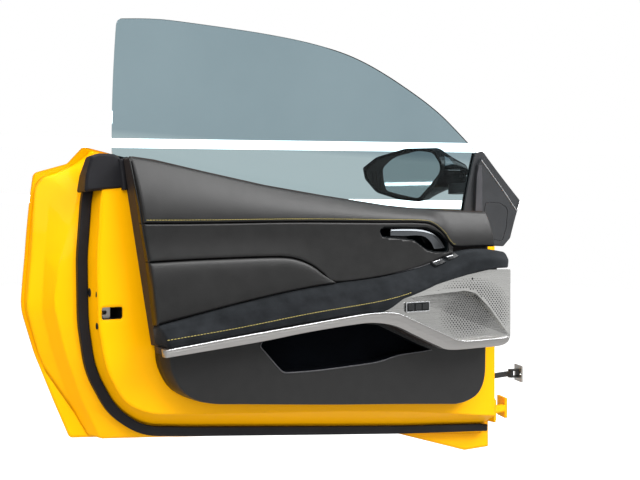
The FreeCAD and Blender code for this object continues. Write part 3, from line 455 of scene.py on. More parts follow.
def suede():
    """Napped dark cover."""
    mat, tree, shader = principled("dark_suede", (0.007, 0.008, 0.0095), 0.95)
    shader.inputs["Sheen Weight"].default_value = 0.08
    shader.inputs["Sheen Roughness"].default_value = 0.5
    shader.inputs["Sheen Tint"].default_value = (0.5, 0.56, 0.62, 1)
    shader.inputs["Specular IOR Level"].default_value = 0.1
    vector = place(tree)
    cloud = noise(tree, vector, 22.0, 6.0, 0.6)
    nap = ramp(tree, cloud, [(0.3, (0.004, 0.0048, 0.0056)), (0.7, (0.012, 0.0135, 0.0155))])
    tree.links.new(nap, shader.inputs["Base Color"])
    bump(tree, shader, noise(tree, vector, 1800.0, 2.0), 0.5, 0.0003)
    return mat


def brushed(name, colour, rough, along=(6, 400, 900)):
    """Metal with fine streaks, whose spacing follows along."""
    mat, tree, shader = principled(name, colour, rough, 1.0)
    vector = place(tree, along)
    streaks = noise(tree, vector, 1.0, 4.0)
    low = tuple(c * 0.88 for c in colour)
    tree.links.new(ramp(tree, streaks, [(0.3, low), (0.7, colour)]), shader.inputs["Base Color"])
    tree.links.new(span(tree, streaks, rough - 0.06, rough + 0.08), shader.inputs["Roughness"])
    bump(tree, shader, streaks, 0.06, 0.0002, soft_edge(tree, shader, METAL_EDGE))
    return mat


def shaded_dish(mat):
    """Painted shade: darker base colour below the dish's foot line and with the dish's depth, standing in for the
    shadow in the dish.
    """
    tree = mat.node_tree
    shader = tree.nodes["Principled BSDF"]
    start, end = at(DISH_FOOT[0][0], 0, DISH_FOOT[0][1]), at(DISH_FOOT[1][0], 0, DISH_FOOT[1][1])
    across = Vector((start.z - end.z, 0, end.x - start.x)).normalized()
    vector = place(tree)
    reach = node(tree, "ShaderNodeVectorMath", operation="DOT_PRODUCT")
    reach.inputs[1].default_value = across
    tree.links.new(vector, reach.inputs[0])
    foot = start.dot(across)
    side = span(tree, reach.outputs["Value"], FOOT_SHADE, 1.0, foot + 0.003, foot + 0.006)
    split = node(tree, "ShaderNodeSeparateXYZ")
    tree.links.new(vector, split.inputs[0])
    plate, deepest = at(0, GRILLE_Y, 0).y, at(0, GRILLE_Y + DISH_DEPTH, 0).y
    depth = span(tree, split.outputs["Y"], 0.0, 1.0, plate, deepest)
    shades = [(0.0, (1, 1, 1)), (0.06, (FOOT_SHADE,) * 3), (1.0, (DISH_SHADE,) * 3)]
    fall = ramp(tree, depth, shades)
    # Painted shade: the darker of the two factors is multiplied into the metal's base colour
    least = node(tree, "ShaderNodeMath", operation="MINIMUM")
    tree.links.new(side, least.inputs[0])
    tree.links.new(fall, least.inputs[1])
    dim = node(tree, "ShaderNodeMix", data_type="RGBA", blend_type="MULTIPLY")
    dim.inputs[0].default_value = 1.0
    source = shader.inputs["Base Color"].links[0].from_socket
    tree.links.new(source, dim.inputs[6])
    tree.links.new(least.outputs[0], dim.inputs[7])
    tree.links.new(dim.outputs[2], shader.inputs["Base Color"])
    return mat


def plastic(name, colour, rough, grain=900.0, depth=0.2, edge=0.0006, shine=0.5):
    """Moulded plastic or rubber with a fine grain and edges rounded by edge."""
    mat, tree, shader = principled(name, colour, rough)
    shader.inputs["Specular IOR Level"].default_value = shine
    vector = place(tree)
    low = tuple(c * 0.85 for c in colour)
    high = tuple(c * 1.15 for c in colour)
    tone = ramp(tree, noise(tree, vector, 25.0, 5.0), [(0.3, low), (0.7, high)])
    tree.links.new(tone, shader.inputs["Base Color"])
    sheen = span(tree, noise(tree, vector, 80.0), rough * 0.85, rough * 1.15)
    tree.links.new(sheen, shader.inputs["Roughness"])
    bump(tree, shader, noise(tree, vector, grain, 2.0), depth, 0.0001, soft_edge(tree, shader, edge))
    return mat


def tinted_glass():
    """Smoked glass, a little paler in the strip under GLASS_STEP."""
    mat, tree, shader = principled("window_glass", (0.22, 0.3, 0.33), 0.0)
    shader.inputs["Transmission Weight"].default_value = 1.0
    shader.inputs["IOR"].default_value = 1.2
    vector = place(tree)
    tone = ramp(tree, noise(tree, vector, 3.0), [(0.3, (0.24, 0.325, 0.36)), (0.7, (0.27, 0.36, 0.395))])
    split = node(tree, "ShaderNodeSeparateXYZ")
    tree.links.new(vector, split.inputs[0])
    step = span(tree, split.outputs["Z"], 0.0, 1.0, GLASS_STEP + GLASS_FADE, GLASS_STEP - GLASS_FADE)
    mixed = node(tree, "ShaderNodeMix", data_type="RGBA")
    mixed.inputs[7].default_value = (0.38, 0.48, 0.5, 1)
    tree.links.new(step, mixed.inputs[0])
    tree.links.new(tone, mixed.inputs[6])
    tree.links.new(mixed.outputs[2], shader.inputs["Base Color"])
    return mat


def mirror_face():
    """Mirror with a faint blue tint."""
    mat, tree, shader = principled("mirror_face", (0.78, 0.9, 0.93), 0.02, 1.0)
    vector = place(tree)
    tree.links.new(span(tree, noise(tree, vector, 40.0), 0.01, 0.03), shader.inputs["Roughness"])
    return mat


MATERIALS = {
    "body_paint": paint(),
    "seal_rubber": plastic("seal_rubber", (0.011, 0.011, 0.013), 0.5, 700.0, 0.15, 0.004, 0.14),
    "latch_plastic": plastic("latch_plastic", (0.006, 0.006, 0.006), 0.45),
    "zinc_steel": brushed("zinc_steel", (0.62, 0.61, 0.58), 0.35),
    "window_glass": tinted_glass(),
    "satin_black": plastic("satin_black", (0.024, 0.026, 0.029), 0.4),
    "trim_plastic": plastic("trim_plastic", (0.03, 0.024, 0.022), 0.5, 900.0, 0.03, shine=0.15),
    "yellow_thread": plastic("yellow_thread", (0.42, 0.34, 0.08), 0.6, 2500.0, 0.3),
    "black_leather": leather("black_leather", (0.006, 0.006, 0.006), (0.009, 0.009, 0.009), 700.0, 0.3),
    "dark_suede": suede(),
    "satin_aluminium": brushed("satin_aluminium", (0.4, 0.39, 0.38), 0.42),
    "grained_plastic": leather("grained_plastic", (0.009, 0.009, 0.009), (0.012, 0.012, 0.012), 600.0, 0.4),
    "pocket_lining": plastic("pocket_lining", (0.0016, 0.0022, 0.0034), 0.95, 1500.0, 0.5, shine=0.03),
    "grille_metal": shaded_dish(brushed("grille_metal", (0.72, 0.72, 0.7), 0.26)),
    "gloss_black": plastic("gloss_black", (0.0016, 0.0028, 0.0036), 0.07, 300.0, 0.01, shine=0.22),
    "chrome_trim": brushed("chrome_trim", (0.82, 0.83, 0.85), 0.1),
    "hinge_black": plastic("hinge_black", (0.01, 0.01, 0.01), 0.4),
    "button_grey": plastic("button_grey", (0.008, 0.009, 0.01), 0.25),
    "mirror_face": mirror_face(),
    "dark_chrome": brushed("dark_chrome", (0.11, 0.118, 0.126), 0.16, (60, 60, 60)),
    "hole_dark": plastic("hole_dark", (0.012, 0.012, 0.013), 0.8, shine=0.1),
    # Pale grey that paints highlights: the line on the sail panel's sloping edge and the line along the mirror's
    # crease
    "painted_highlight": plastic("painted_highlight", (0.3, 0.31, 0.32), 0.4),
    "grey_band": plastic("grey_band", (0.05, 0.05, 0.056), 0.4),
    "grey_lens": plastic("grey_lens", (0.05, 0.075, 0.09), 0.3),
}


def dress_nodes():
    """Every node of the model gets its slot's material."""
    for part in frame["record"]["subparts"]:
        mesh = nodes[part["node"]].data
        mesh.materials.clear()
        mesh.materials.append(MATERIALS[part["material_slot"]])


# Mesh helpers

def curve(points, n=400):
    """n points evenly spread along a smooth line through points."""
    pts = [Vector((p[0], p[1], 0)) for p in points]
    dense = []
    for i in range(len(pts) - 1):
        p0 = pts[max(i - 1, 0)]
        p1, p2 = pts[i], pts[i + 1]
        p3 = pts[min(i + 2, len(pts) - 1)]
        for k in range(16):
            t = k / 16
            tangent1 = (p2 - p0) * 0.5
            tangent2 = (p3 - p1) * 0.5
            rise = 3 * t ** 2 - 2 * t ** 3
            h = (1 - rise, t ** 3 - 2 * t ** 2 + t, rise, t ** 3 - t ** 2)
            dense.append(p1 * h[0] + tangent1 * h[1] + p2 * h[2] + tangent2 * h[3])
    dense.append(pts[-1])
    lengths = [0]
    for p, q in zip(dense, dense[1:]):
        lengths.append(lengths[-1] + (q - p).length)
    made = []
    k = 0
    for i in range(n):
        s = lengths[-1] * i / (n - 1)
        while k < len(dense) - 2 and lengths[k + 1] < s:
            k += 1
        f = (s - lengths[k]) / max(lengths[k + 1] - lengths[k], 1e-9)
        p = dense[k].lerp(dense[k + 1], f)
        made.append((p.x, p.y))
    return made


def height_at(line, x):
    """Height at x of a dense line of (x, z) points that runs forward."""
    if x <= line[0][0]:
        return line[0][1]
    for p, q in zip(line, line[1:]):
        if q[0] >= x > p[0]:
            return p[1] + (q[1] - p[1]) * (x - p[0]) / (q[0] - p[0])
    return line[-1][1]


def rounded(corners, steps=6):
    """Closed outline through (u, v, radius) corners, each corner an arc of steps + 1 points."""
    made = []
    count = len(corners)
    for i in range(count):
        p = Vector(corners[i][:2])
        a = Vector(corners[i - 1][:2]) - p
        b = Vector(corners[(i + 1) % count][:2]) - p
        half = a.angle(b) / 2
        reach = min(corners[i][2] / max(math.tan(half), 1e-6), a.length * 0.49, b.length * 0.49)
        start, end = p + a.normalized() * reach, p + b.normalized() * reach
        for k in range(steps + 1):
            t = k / steps
            made.append(start * (1 - t) ** 2 + p * 2 * t * (1 - t) + end * t ** 2)
    return made


def mesh_object(name, vertices, faces):
    """Object of vertices in door axes, in millimetres, with its normals outward."""
    mesh = bpy.data.meshes.new(name)
    mesh.from_pydata([at(*v) for v in vertices], [], faces)
    work = bmesh.new()
    work.from_mesh(mesh)
    bmesh.ops.recalc_face_normals(work, faces=work.faces)
    work.to_mesh(mesh)
    work.free()
    obj = bpy.data.objects.new(name, mesh)
    bpy.context.scene.collection.objects.link(obj)
    return obj


def dress(obj, slot, body):
    """The slot's material and the body of a piece."""
    obj.data.materials.clear()
    obj.data.materials.append(MATERIALS[slot])
    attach(obj, body)
    return obj


def new_object(name, vertices, faces, slot, body="door", smooth=True):
    """Piece of vertices in door axes."""
    obj = mesh_object(name, vertices, faces)
    if smooth:
        obj.data.shade_smooth()
    return dress(obj, slot, body)


def grid_faces(n, m, first=0, flip=False):
    """Quads of a grid with n by m cells, whose points run along m first."""
    made = []
    for i in range(n):
        for j in range(m):
            a = first + i * (m + 1) + j
            quad = (a, a + 1, a + m + 2, a + m + 1)
            made.append(quad[::-1] if flip else quad)
    return made


def shell_faces(n, m):
    """Faces of two grids with n by m cells, joined along their rims."""
    size = (n + 1) * (m + 1)
    rim = ([j for j in range(m)] + [i * (m + 1) + m for i in range(n)]
           + [n * (m + 1) + j for j in range(m, 0, -1)] + [i * (m + 1) for i in range(n, 0, -1)])
    sides = [(a, b, b + size, a + size) for a, b in zip(rim, rim[1:] + rim[:1])]
    return grid_faces(n, m) + grid_faces(n, m, size, True) + sides


def sweep(name, sections, slot):
    """Closed skin over equal loops of points, with both ends shut."""
    size = len(sections[0])
    vertices = [p for loop in sections for p in loop]
    faces = []
    for i in range(len(sections) - 1):
        for j in range(size):
            a, b = i * size + j, i * size + (j + 1) % size
            faces.append((a, b, b + size, a + size))
    faces.append(tuple(range(size)))
    faces.append(tuple(range(len(vertices) - size, len(vertices))))
    return new_object(name, vertices, faces, slot)


def tube(name, path, radius, slot, sides=8):
    """Round bar along a path in door axes."""
    pts = [Vector(p) for p in path]
    sections = []
    for i, p in enumerate(pts):
        run = (pts[min(i + 1, len(pts) - 1)] - pts[max(i - 1, 0)]).normalized()
        across = run.cross(Vector((0, 1, 0))).normalized()
        up = across.cross(run)
        sections.append([p + (across * math.cos(a) + up * math.sin(a)) * radius
                         for a in [2 * math.pi * k / sides for k in range(sides)]])
    return sweep(name, sections, slot)


def eased(k, n):
    """Evenly growing share from 0 to 1 that lies closer near both ends."""
    t = k / n
    return 0.35 * t + 0.65 * (0.5 - 0.5 * math.cos(math.pi * t))


class Pad:
    """Stuffed panel between two lines in side view, with rolled edges and a depth given by profile(s, t)."""

    def __init__(self, upper, lower, ends, profile, roll=SEAM_ROLL):
        self.upper, self.lower = curve(upper), curve(lower)
        self.ends, self.profile, self.roll = ends, profile, roll

    def rails(self, s):
        """Upper and lower (x, z) points at share s of the length."""
        (u0, u1), (l0, l1) = self.ends
        xu, xl = u0 + (u1 - u0) * s, l0 + (l1 - l0) * s
        return (xu, height_at(self.upper, xu) - SEAM_GAP), (xl, height_at(self.lower, xl) + SEAM_GAP)

    def point(self, s, t):
        """Point of the face at shares s of the length and t of the height, from the top."""
        (xu, zu), (xl, zl) = self.rails(s)
        height = max(zu - zl, 0.5)
        length = self.ends[0][1] - self.ends[0][0]
        edge = min(t * height, (1 - t) * height, s * length, (1 - s) * length)
        fall = 0.0
        if edge < self.roll:
            fall = self.roll * (1 - math.sqrt(1 - (1 - edge / self.roll) ** 2))
        return (xu + (xl - xu) * t, self.profile(s, t) + fall, zu + (zl - zu) * t)

    def above_foot(self, s, rise):
        """Point on the face, rise above the lower line."""
        (_, zu), (_, zl) = self.rails(s)
        return Vector(self.point(s, 1 - rise / (zu - zl)))

    def build(self, name, slot, back, cells=(150, 22)):
        """The panel as a closed piece with a flat back."""
        n, m = cells
        front = [self.point(eased(i, n), eased(j, m)) for i in range(n + 1) for j in range(m + 1)]
        rear = [(x, back, z) for x, _, z in front]
        obj = new_object(name, front + rear, shell_faces(n, m), slot)
        return obj


def block(outline, front, back):
    """Closed mesh object between two depths, each a number or a function of (x, z)."""
    size = len(outline)
    vertices = [(u, y(u, v) if callable(y) else y, v) for y in (front, back) for u, v in outline]
    faces = [tuple(range(size)), tuple(range(size, 2 * size))]
    faces += [(k, (k + 1) % size, (k + 1) % size + size, k + size) for k in range(size)]
    return mesh_object("block", vertices, faces)


def applied(obj):
    """The piece's modifiers made part of its mesh."""
    graph = bpy.context.evaluated_depsgraph_get()
    made = bpy.data.meshes.new_from_object(obj.evaluated_get(graph))
    obj.modifiers.clear()
    obj.data = made


def combine(obj, other, operation):
    """The second piece joined to the first or cut from it."""
    modifier = obj.modifiers.new("combine", "BOOLEAN")
    modifier.object = other
    modifier.operation = operation
    modifier.solver = "EXACT"
    applied(obj)
    bpy.data.objects.remove(other)


def flat_across(obj):
    """Faces that look straight along y are shaded flat."""
    for face in obj.data.polygons:
        if abs(face.normal.y) > 0.995:
            face.use_smooth = False


def finished(obj, name, slot):
    """A combined block as a piece of the door."""
    obj.name = name
    return dress(obj, slot, "door")


def moved_in(corners, d):
    """Outline of (u, v, radius) corners drawn in by d."""
    count = len(corners)
    area = sum(corners[i - 1][0] * corners[i][1] - corners[i][0] * corners[i - 1][1] for i in range(count))
    turn = 1 if area > 0 else -1
    made = []
    for i in range(count):
        p = Vector(corners[i][:2])
        a = (p - Vector(corners[i - 1][:2])).normalized()
        b = (Vector(corners[(i + 1) % count][:2]) - p).normalized()
        na, nb = Vector((-a.y, a.x)) * turn, Vector((-b.y, b.x)) * turn
        q = p + (na + nb) * (d / (1 + na.dot(nb)))
        made.append((q.x, q.y, corners[i][2]))
    return made


def stitches(name, path, length, pitch, radius):
    """Row of short yellow threads along a dense path, partly sunk into the surface."""
    vertices, faces = [], []
    sides = 6
    run = 0.0
    due = pitch / 2
    for p, q in zip(path, path[1:]):
        step = (q - p).length
        while due <= run + step:
            middle = p.lerp(q, (due - run) / step)
            along = (q - p).normalized()
            across = along.cross(Vector((0, 1, 0))).normalized()
            out = across.cross(along)
            first = len(vertices)
            for reach, width, lift in STITCH_RINGS:
                centre = middle + along * (reach * length) + out * (lift * radius)
                for k in range(sides):
                    a = 2 * math.pi * k / sides
                    vertices.append(centre + (across * math.cos(a) + out * math.sin(a)) * radius * width)
            last = len(vertices)
            for start in range(first, last - sides, sides):
                for k in range(sides):
                    a, b = start + k, start + (k + 1) % sides
                    faces.append((a, b, b + sides, a + sides))
            faces.append(tuple(range(first, first + sides)))
            faces.append(tuple(range(last - sides, last)))
            due += pitch
        run += step
    new_object(name, vertices, faces, "yellow_thread")


# Trim

def crown(t, height):
    """Extra depth of a stuffed face, greatest in the middle."""
    return height * (1 - (2 * t - 1) ** 4)


def ends(line):
    """First and last x of a line."""
    return line[0][0], line[-1][0]


def upper_roll():
    """Leather roll along the top, which falls back to the waist seal, with a stitched seam."""
    pad = Pad(TRIM_TOP, SEAM_1, (ends(TRIM_TOP), ends(SEAM_1)),
              lambda s, t: CARRIER_Y - 1.0 + (SEAM_Y - CARRIER_Y + 1.0) * math.sin(t * math.pi / 2) ** 0.85)
    obj = pad.build("upper_roll", "black_leather", CARRIER_Y)
    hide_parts("trim_upper")
    rear, front = ends(SEAM_1)
    first, last = 0.004, (SEAM_1_END - rear) / (front - rear)
    path = [pad.above_foot(first + (last - first) * k / 300, SEAM_ROLL + 0.5) for k in range(301)]
    stitches("seam_stitch", path, 5.4, 6.4, 0.5)


def middle_panel():
    """Leather panel round the release handle."""
    lower = SEAM_2 + ARMREST_TOP[5:8] + [(SEAM_1_END, SEAM_1_FOOT_Z)]
    pad = Pad(SEAM_1, lower, ((SEAM_1[0][0], SEAM_1_END), (SEAM_2[0][0], SEAM_1_END)),
              lambda s, t: PAD_Y - 1.0 - 5.0 * (1 - t) ** 4 - crown(t, 1.0) - 4.0 * t ** 3)
    obj = pad.build("middle_panel", "black_leather", CARRIER_Y, (180, 26))
    combine(obj, block(rounded(HANDLE_BEZEL), BLADE_Y, CARRIER_Y + 4), "DIFFERENCE")
    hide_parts("trim_mid")


def armrest_pad():
    """Leather pad above the armrest's rear part."""
    pad = Pad(SEAM_2, ARMREST_TOP, ((SEAM_2[0][0], REST_PAD_END), (ARMREST_TOP[0][0], REST_PAD_END)),
              lambda s, t: PAD_Y - 3.0 - crown(t, 4.0) - 3.0 * t)
    obj = pad.build("rest_pad", "black_leather", CARRIER_Y, (110, 18))
    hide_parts("trim_pad")


def armrest():
    """Armrest with a sloping top, a stitched front edge and a nose that draws back."""
    top, fold, foot = curve(ARMREST_TOP), curve(ARMREST_FOLD), curve(ARMREST_FOOT)
    sections, sewn = [], []
    count = 170
    length = ARMREST_END - ARMREST_REARS[0]
    for i in range(count + 1):
        s = eased(i, count)
        x_top, x_fold, x_foot = [rear + (ARMREST_END - rear) * s for rear in ARMREST_REARS]
        back = max(0.0, (x_fold - NOSE_FROM) / (ARMREST_END - NOSE_FROM))
        front = ARMREST_Y + NOSE_REACH * (1 - math.sqrt(max(0.0, 1 - back * back)))
        end = min(s, 1 - s) * length
        drop = 0.0
        if end < ARMREST_ROLL:
            drop = ARMREST_ROLL * (1 - math.sqrt(1 - (1 - end / ARMREST_ROLL) ** 2))
        z_top, z_fold, z_foot = height_at(top, x_top), height_at(fold, x_fold), height_at(foot, x_foot)
        z_foot = min(z_foot, z_fold - 8)
        slope = ((PAD_Y + front) / 2, (z_top + z_fold) / 2 + 6 - drop, 30)
        corners = [(CARRIER_Y, z_foot + 1 + drop, 0.5), (CARRIER_Y, z_top - 1 - drop, 0.5),
                   (PAD_Y - 3, z_top - drop - 0.5, 6), slope, (front + drop, z_fold - drop * 0.3, 15),
                   (front + drop + 3, z_foot + 1 + drop, 6)]
        loop = rounded(corners, 7)
        xs = [(z_top - v) / max(z_top - z_foot, 1) for u, v in loop]
        sections.append([(x_top + (x_foot - x_top) * min(max(f, 0), 1), u, v) for f, (u, v) in zip(xs, loop)])
        sewn.append(Vector((x_fold, front + 1.3, z_fold + 1.5)))
    obj = sweep("armrest_cover", sections, "dark_suede")
    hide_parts("armrest")
    sewn = [p for p in sewn if ARMREST_REARS[0] + 1 < p.x < STITCH_END]
    stitches("armrest_stitch", sewn, 5.0, 7.0, 0.55)


def blade():
    """Satin strip with a thin lip along its top, on a dark core."""
    top, foot = curve(BLADE_TOP), curve(BLADE_FOOT)
    strip, core = [], []
    count = 150
    for i in range(count + 1):
        s = eased(i, count)
        x_top, x_foot = [rear + (front - rear) * s for rear, front in BLADE_ENDS]
        z_top, z_foot = height_at(top, x_top), height_at(foot, x_foot)
        face = [(BLADE_BACK, z_foot, 0.5), (BLADE_BACK, z_top, 0.5), (BLADE_Y, z_top, 1.6),
                (BLADE_Y, z_top - 2.6, 0.8), (BLADE_Y + 1.6, z_top - 3.4, 0.8),
                (BLADE_Y + 0.6, (z_top + z_foot) / 2, 30), (BLADE_Y + 3.0, z_foot, 2.5)]
        behind = [(CARRIER_Y - 2, z_foot + 3, 2), (CARRIER_Y - 2, z_top - 0.5, 1),
                  (BLADE_BACK - 1, z_top - 0.5, 1), (BLADE_BACK - 1, z_foot + 1.5, 2)]
        for made, corners in ((strip, face), (core, behind)):
            made.append([(x_top + (x_foot - x_top) * min(max((z_top - v) / (z_top - z_foot), 0), 1), u, v)
                         for u, v in rounded(corners, 4)])
    obj = sweep("blade_strip", strip, "satin_aluminium")
    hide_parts("blade")
    sweep("blade_core", core[2:-2], "trim_plastic")
    rear, front = BLADE_ENDS[0]
    edge = [(x, BLADE_Y + 0.8, z - 0.5) for x, z in top if rear + 3 < x < front - 3]
    tube("blade_lip", edge[::3], 0.9, "chrome_trim")


def lower_panel():
    """Moulded panel under the blade, flat in front and wider at its rear edge, round a map pocket."""
    sections = []
    steps = ((SHELL_Y - 0.5, 1.0, 0), (SHELL_Y - 20, 0.75, 0), (SHELL_Y - 36, 0.2, 0),
             (LOWER_Y + 3.5, 0, 0), (LOWER_Y + 1.0, 0, 1.0), (LOWER_Y, 0, 3.5))
    for y, widen, shrink in steps:
        outline = []
        for rear, face in zip(curve(LOWER_BASE, 60), curve(LOWER_FACE, 60)):
            outline.append(tuple(a + (b - a) * widen for a, b in zip(face, rear)))
        outline += curve(LOWER_FRONT, 30)[1:] + curve(LOWER_TOP, 60)[1:-1]
        middle = Vector(LOWER_MIDDLE)
        loop = []
        for k, q in enumerate(outline):
            before, after = Vector(outline[k - 1]), Vector(outline[(k + 1) % len(outline)])
            run = (after - before).normalized()
            normal = Vector((run.y, -run.x))
            if normal.dot(Vector(q) - middle) > 0:
                normal = -normal
            moved = Vector(q) + normal * shrink
            loop.append((moved.x, y, moved.y))
        sections.append(loop)
    obj = sweep("lower_panel", sections, "grained_plastic")
    combine(obj, block(rounded(POCKET), LOWER_Y - 6, SHELL_Y - 7.5), "DIFFERENCE")
    flat_across(obj)
    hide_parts("lower_trim")
    lip = [(x, LOWER_Y - 0.4, z) for x, z in curve(POCKET_LIP, 120)]
    tube("pocket_lip", lip, 1.5, "grey_band")


def small_details():
    """Bead that closes the joint between corner cap and trim, a rubber stop beside the latch, and two dark discs
    there whose darkness is painted shade of holes.
    """
    tube("cap_bead", [(x, CAP_BEAD_Y, z) for x, z in curve(CAP_BEAD, 24)], 6.0, "seal_rubber", 12)
    for name, place_at, radius, long in STOP_AND_HOLE_SHADES:
        x, y, z = place_at
        sections = []
        for push, grow in ((3.0, 0.9), (-0.3, 1.0), (-0.8, 0.8)):
            sections.append([(x + push, y + radius * grow * math.cos(a), z + long * grow * math.sin(a))
                             for a in [2 * math.pi * k / 16 for k in range(16)]])
        sweep(name, sections, "hole_dark")


def lever():
    """Release lever with a crowned face that widens to its front end."""
    upper, lower = curve(LEVER_TOP, 61), curve(LEVER_FOOT, 61)
    sections = []
    for (xu, zu), (xl, zl) in zip(upper, lower):
        wide = math.hypot(xu - xl, zu - zl)
        corners = [(0, LEVER_BACK, 1), (wide, LEVER_BACK, 1), (wide, PAD_Y + 1, 4),
                   (wide * 0.6, PAD_Y - 2.0, 8), (0, PAD_Y + 2, 4)]
        loop = rounded(corners, 5)
        sections.append([(xl + (xu - xl) * w / wide, y, zl + (zu - zl) * w / wide) for w, y in loop])
    obj = sweep("lever_face", sections, "dark_chrome")
    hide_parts("handle_lever")


def dish_y(x, z):
    """Depth of the dish's floor, which falls away from its foot line."""
    (x0, z0), (x1, z1) = DISH_FOOT
    length = math.hypot(x1 - x0, z1 - z0)
    above = ((x - x0) * (z0 - z1) + (z - z0) * (x1 - x0)) / length
    return GRILLE_Y + DISH_SLOPE * above


def inside(outline, x, z):
    """Whether a point lies within a closed outline."""
    hit = False
    for (x0, z0), (x1, z1) in zip(outline, outline[1:] + outline[:1]):
        if (z0 > z) != (z1 > z) and x < x0 + (z - z0) * (x1 - x0) / (z1 - z0):
            hit = not hit
    return hit


def grille():
    """Satin plate with a leaf-shaped dish and a field of fine holes."""
    edge = moved_in(GRILLE_EDGE, 0.5)
    plate = block([tuple(p) for p in rounded(edge)], GRILLE_Y, GRILLE_Y + GRILLE_THICK)
    floor = block(rounded(moved_in(LEAF, -GRILLE_THICK)), GRILLE_Y + 0.5,
                  lambda x, z: max(dish_y(x, z), GRILLE_Y) + GRILLE_THICK)
    combine(plate, floor, "UNION")
    combine(plate, block(rounded(LEAF), GRILLE_Y - 8, dish_y), "DIFFERENCE")
    obj = finished(plate, "grille_plate", "grille_metal")
    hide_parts("speaker_grille")
    vertices, faces = [], []
    leaf = [tuple(p) for p in rounded(LEAF)]
    border = [tuple(p) for p in rounded(moved_in(GRILLE_EDGE, 7))]
    cx, cz = HOLE_FIELD_AT
    for i in range(-20, 21):
        for j in range(-30, 31):
            x, z = cx + (i + (j % 2) / 2) * HOLE_PITCH[0], cz + j * HOLE_PITCH[1]
            sunk = inside(leaf, x, z)
            low = dish_y(x, z) < GRILLE_Y
            if not inside(border, x, z) or not (sunk or low) and z < dish_top(x):
                continue
            away = math.hypot((x - cx) / HOLE_FIELD[0], (z - cz) / HOLE_FIELD[1])
            limit = 1.0 if sunk or low else FLAT_FIELD
            if away > limit:
                continue
            radius = HOLE_R * min(1.0, 0.45 + (limit - away) * 1.6)
            faces += prism(vertices, x, z, radius, sunk)
    faces += prism(vertices, *STUD_AT, STUD_R, False)
    new_object("perforation", vertices, faces, "hole_dark", smooth=False)


def prism(vertices, x, z, radius, sunk):
    """Faces of a shallow hexagonal prism on the plate or the dish, whose points are added to vertices."""
    first = len(vertices)
    angles = [k * math.pi / 3 for k in range(6)]
    ring = [(x + radius * math.cos(a), z + radius * math.sin(a)) for a in angles]
    for depth in (-0.06, 0.3):
        vertices += [(u, (dish_y(u, v) if sunk else GRILLE_Y) + depth, v) for u, v in ring]
    made = [(first + k, first + (k + 1) % 6, first + (k + 1) % 6 + 6, first + k + 6) for k in range(6)]
    return made + [tuple(range(first, first + 6)), tuple(range(first + 6, first + 12))]


def dish_top(x):
    """Lowest height of the holes above the dish's upper edge at x."""
    return height_at(DISH_TOP, x) + DISH_TOP_CLEAR


def switch_frame():
    """Bright frame round the memory switch."""
    low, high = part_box("memory_switch")
    low, high = (low - HINGE) * 1000, (high - HINGE) * 1000
    low.z, high.z = low.z + LOWER_HINGE_Z, high.z + LOWER_HINGE_Z
    rim = [(low.x, low.z, 3), (low.x, high.z, 3), (high.x, high.z, 3), (high.x, low.z, 3)]
    frame_piece = block(rounded(moved_in(rim, -1.6)), low.y - 0.6, low.y + 1.5)
    combine(frame_piece, block(rounded(moved_in(rim, 0.4)), low.y - 4, low.y + 4), "DIFFERENCE")
    finished(frame_piece, "switch_frame", "chrome_trim")


def glass():
    """The window glass on its own bend, its top edge one smooth line with a rounded rear corner."""
    line = curve(GLASS_EDGE, GLASS_CELLS[0])
    corner, start = Vector(GLASS_EDGE[0]), Vector(line[1])
    low = corner + (Vector(GLASS_FOOT[0]) - corner).normalized() * GLASS_CORNER
    arc = [low * (1 - t) ** 2 + corner * 2 * t * (1 - t) + start * t ** 2 for t in (0.0, 0.2, 0.4, 0.6, 0.8)]
    edge = [tuple(p) for p in arc] + line[1:]
    (x0, foot), (x1, foot) = GLASS_FOOT
    count, rows = len(edge), GLASS_CELLS[1]
    vertices = []
    for half in (-GLASS_HALF, GLASS_HALF):
        for i, (x, z) in enumerate(edge):
            below = x0 + (x1 - x0) * i / (count - 1)
            for j in range(rows + 1):
                height = foot + (z - foot) * j / rows
                depth = GLASS_AXIS[0] + math.sqrt((GLASS_BEND + half) ** 2 - (height - GLASS_AXIS[1]) ** 2)
                vertices.append((below + (x - below) * j / rows, depth, height))
    obj = new_object("window_pane", vertices, shell_faces(count - 1, rows), "window_glass")
    obj.data.set_sharp_from_angle(angle=math.radians(40))
    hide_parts("window_glass")


def sail_depth(z):
    """Depth of the sail panel's face at height z."""
    return height_at(SAIL_FACE, z)


def sail_details():
    """Welt along the sloping edge of the sail panel, its pale colour a painted highlight on that edge, and a paler
    band along its rear edge.
    """
    welt = [(x, sail_depth(z) - 0.4, z) for x, z in curve(SAIL_WELT, 40)]
    tube("sail_welt_highlight", welt, 1.2, "painted_highlight")
    band = block(SAIL_BAND, lambda x, z: sail_depth(z) - 0.9, lambda x, z: sail_depth(z) + 0.6)
    finished(band, "sail_band", "grey_band")


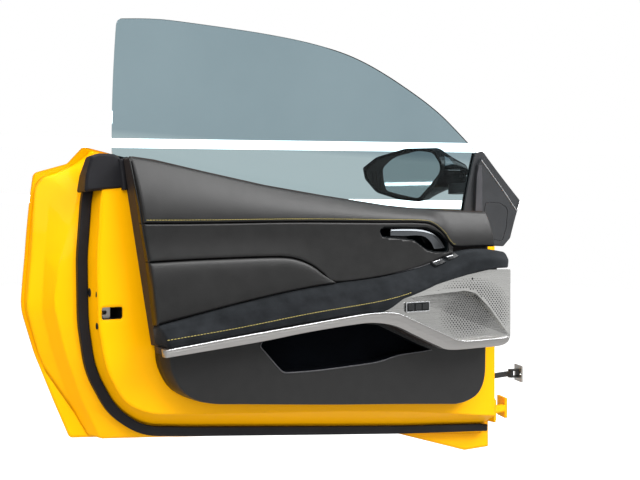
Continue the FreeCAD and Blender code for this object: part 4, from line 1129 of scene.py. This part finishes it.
def mirror_details():
    """Indicator lens on the mirror housing and a pale strip in front of it, a painted highlight along a crease."""
    corners = [Vector(p) for p in LENS]
    size = 10
    vertices = []
    for i in range(size + 1):
        for j in range(size + 1):
            u, v = i / size, j / size
            vertices.append((corners[0].lerp(corners[1], u)).lerp(corners[3].lerp(corners[2], u), v))
    obj = new_object("mirror_lens", vertices, grid_faces(size, size), "grey_lens", "mirror")
    drape(obj, nodes["mirror_housing"], 0.0005, 0.0012)
    # Pale strip laid on the housing: a painted highlight along the crease
    crease = [Vector(CREASE[0]).lerp(Vector(CREASE[1]), k / 24) for k in range(25)]
    strip = [p + Vector((0, 0, h)) for p in crease for h in (-0.7, 0.7)]
    obj = new_object("mirror_crease_highlight", strip, grid_faces(24, 1), "painted_highlight", "mirror")
    drape(obj, nodes["mirror_housing"], 0.0003, 0.0008)


def drape(obj, target, away, thick):
    """Lay a sheet on a surface and give it thickness."""
    wrap = obj.modifiers.new("wrap", "SHRINKWRAP")
    wrap.target = target
    wrap.wrap_method = "NEAREST_SURFACEPOINT"
    wrap.wrap_mode = "OUTSIDE_SURFACE"
    wrap.offset = away
    solid = obj.modifiers.new("solid", "SOLIDIFY")
    solid.thickness = thick
    solid.offset = 0.0
    applied(obj)


def switch_lips():
    """Chrome lip on each window switch."""
    for k, path in enumerate(SWITCH_LIPS):
        tube("switch_lip_%d" % (k + 1), path, 1.3, "chrome_trim")


def pull_crease_highlight():
    """Crease in the leather above the armrest, where the pull begins, drawn as a grey bar whose paler tone is a
    painted highlight.
    """
    tube("pull_crease_highlight", [(x, PAD_Y - 2.6, z) for x, z in curve(PULL_CREASE, 40)], 1.1, "grey_band")


def piping():
    """Thin bead along the rear edge of the pads."""
    falling = [(-z, x) for x, z in PIPING]
    path = []
    for k in range(91):
        z = PIPING[0][1] - 4 * k
        x = height_at(falling, -z)
        path.append((x, CARRIER_Y - 3 - 14 * min(1.0, k / 24), z))
    tube("rear_piping", path, 1.7, "black_leather")


make_camera()
make_world()
dress_nodes()
upper_roll()
middle_panel()
armrest_pad()
armrest()
blade()
lower_panel()
lever()
grille()
small_details()
switch_frame()
piping()
glass()
sail_details()
mirror_details()
switch_lips()
pull_crease_highlight()
make_stage()
for name, place_at, target, size, energy in LAMPS:
    lamp(name, place_at, target, size, energy)
bpy.context.scene.view_settings.view_transform = "Standard"
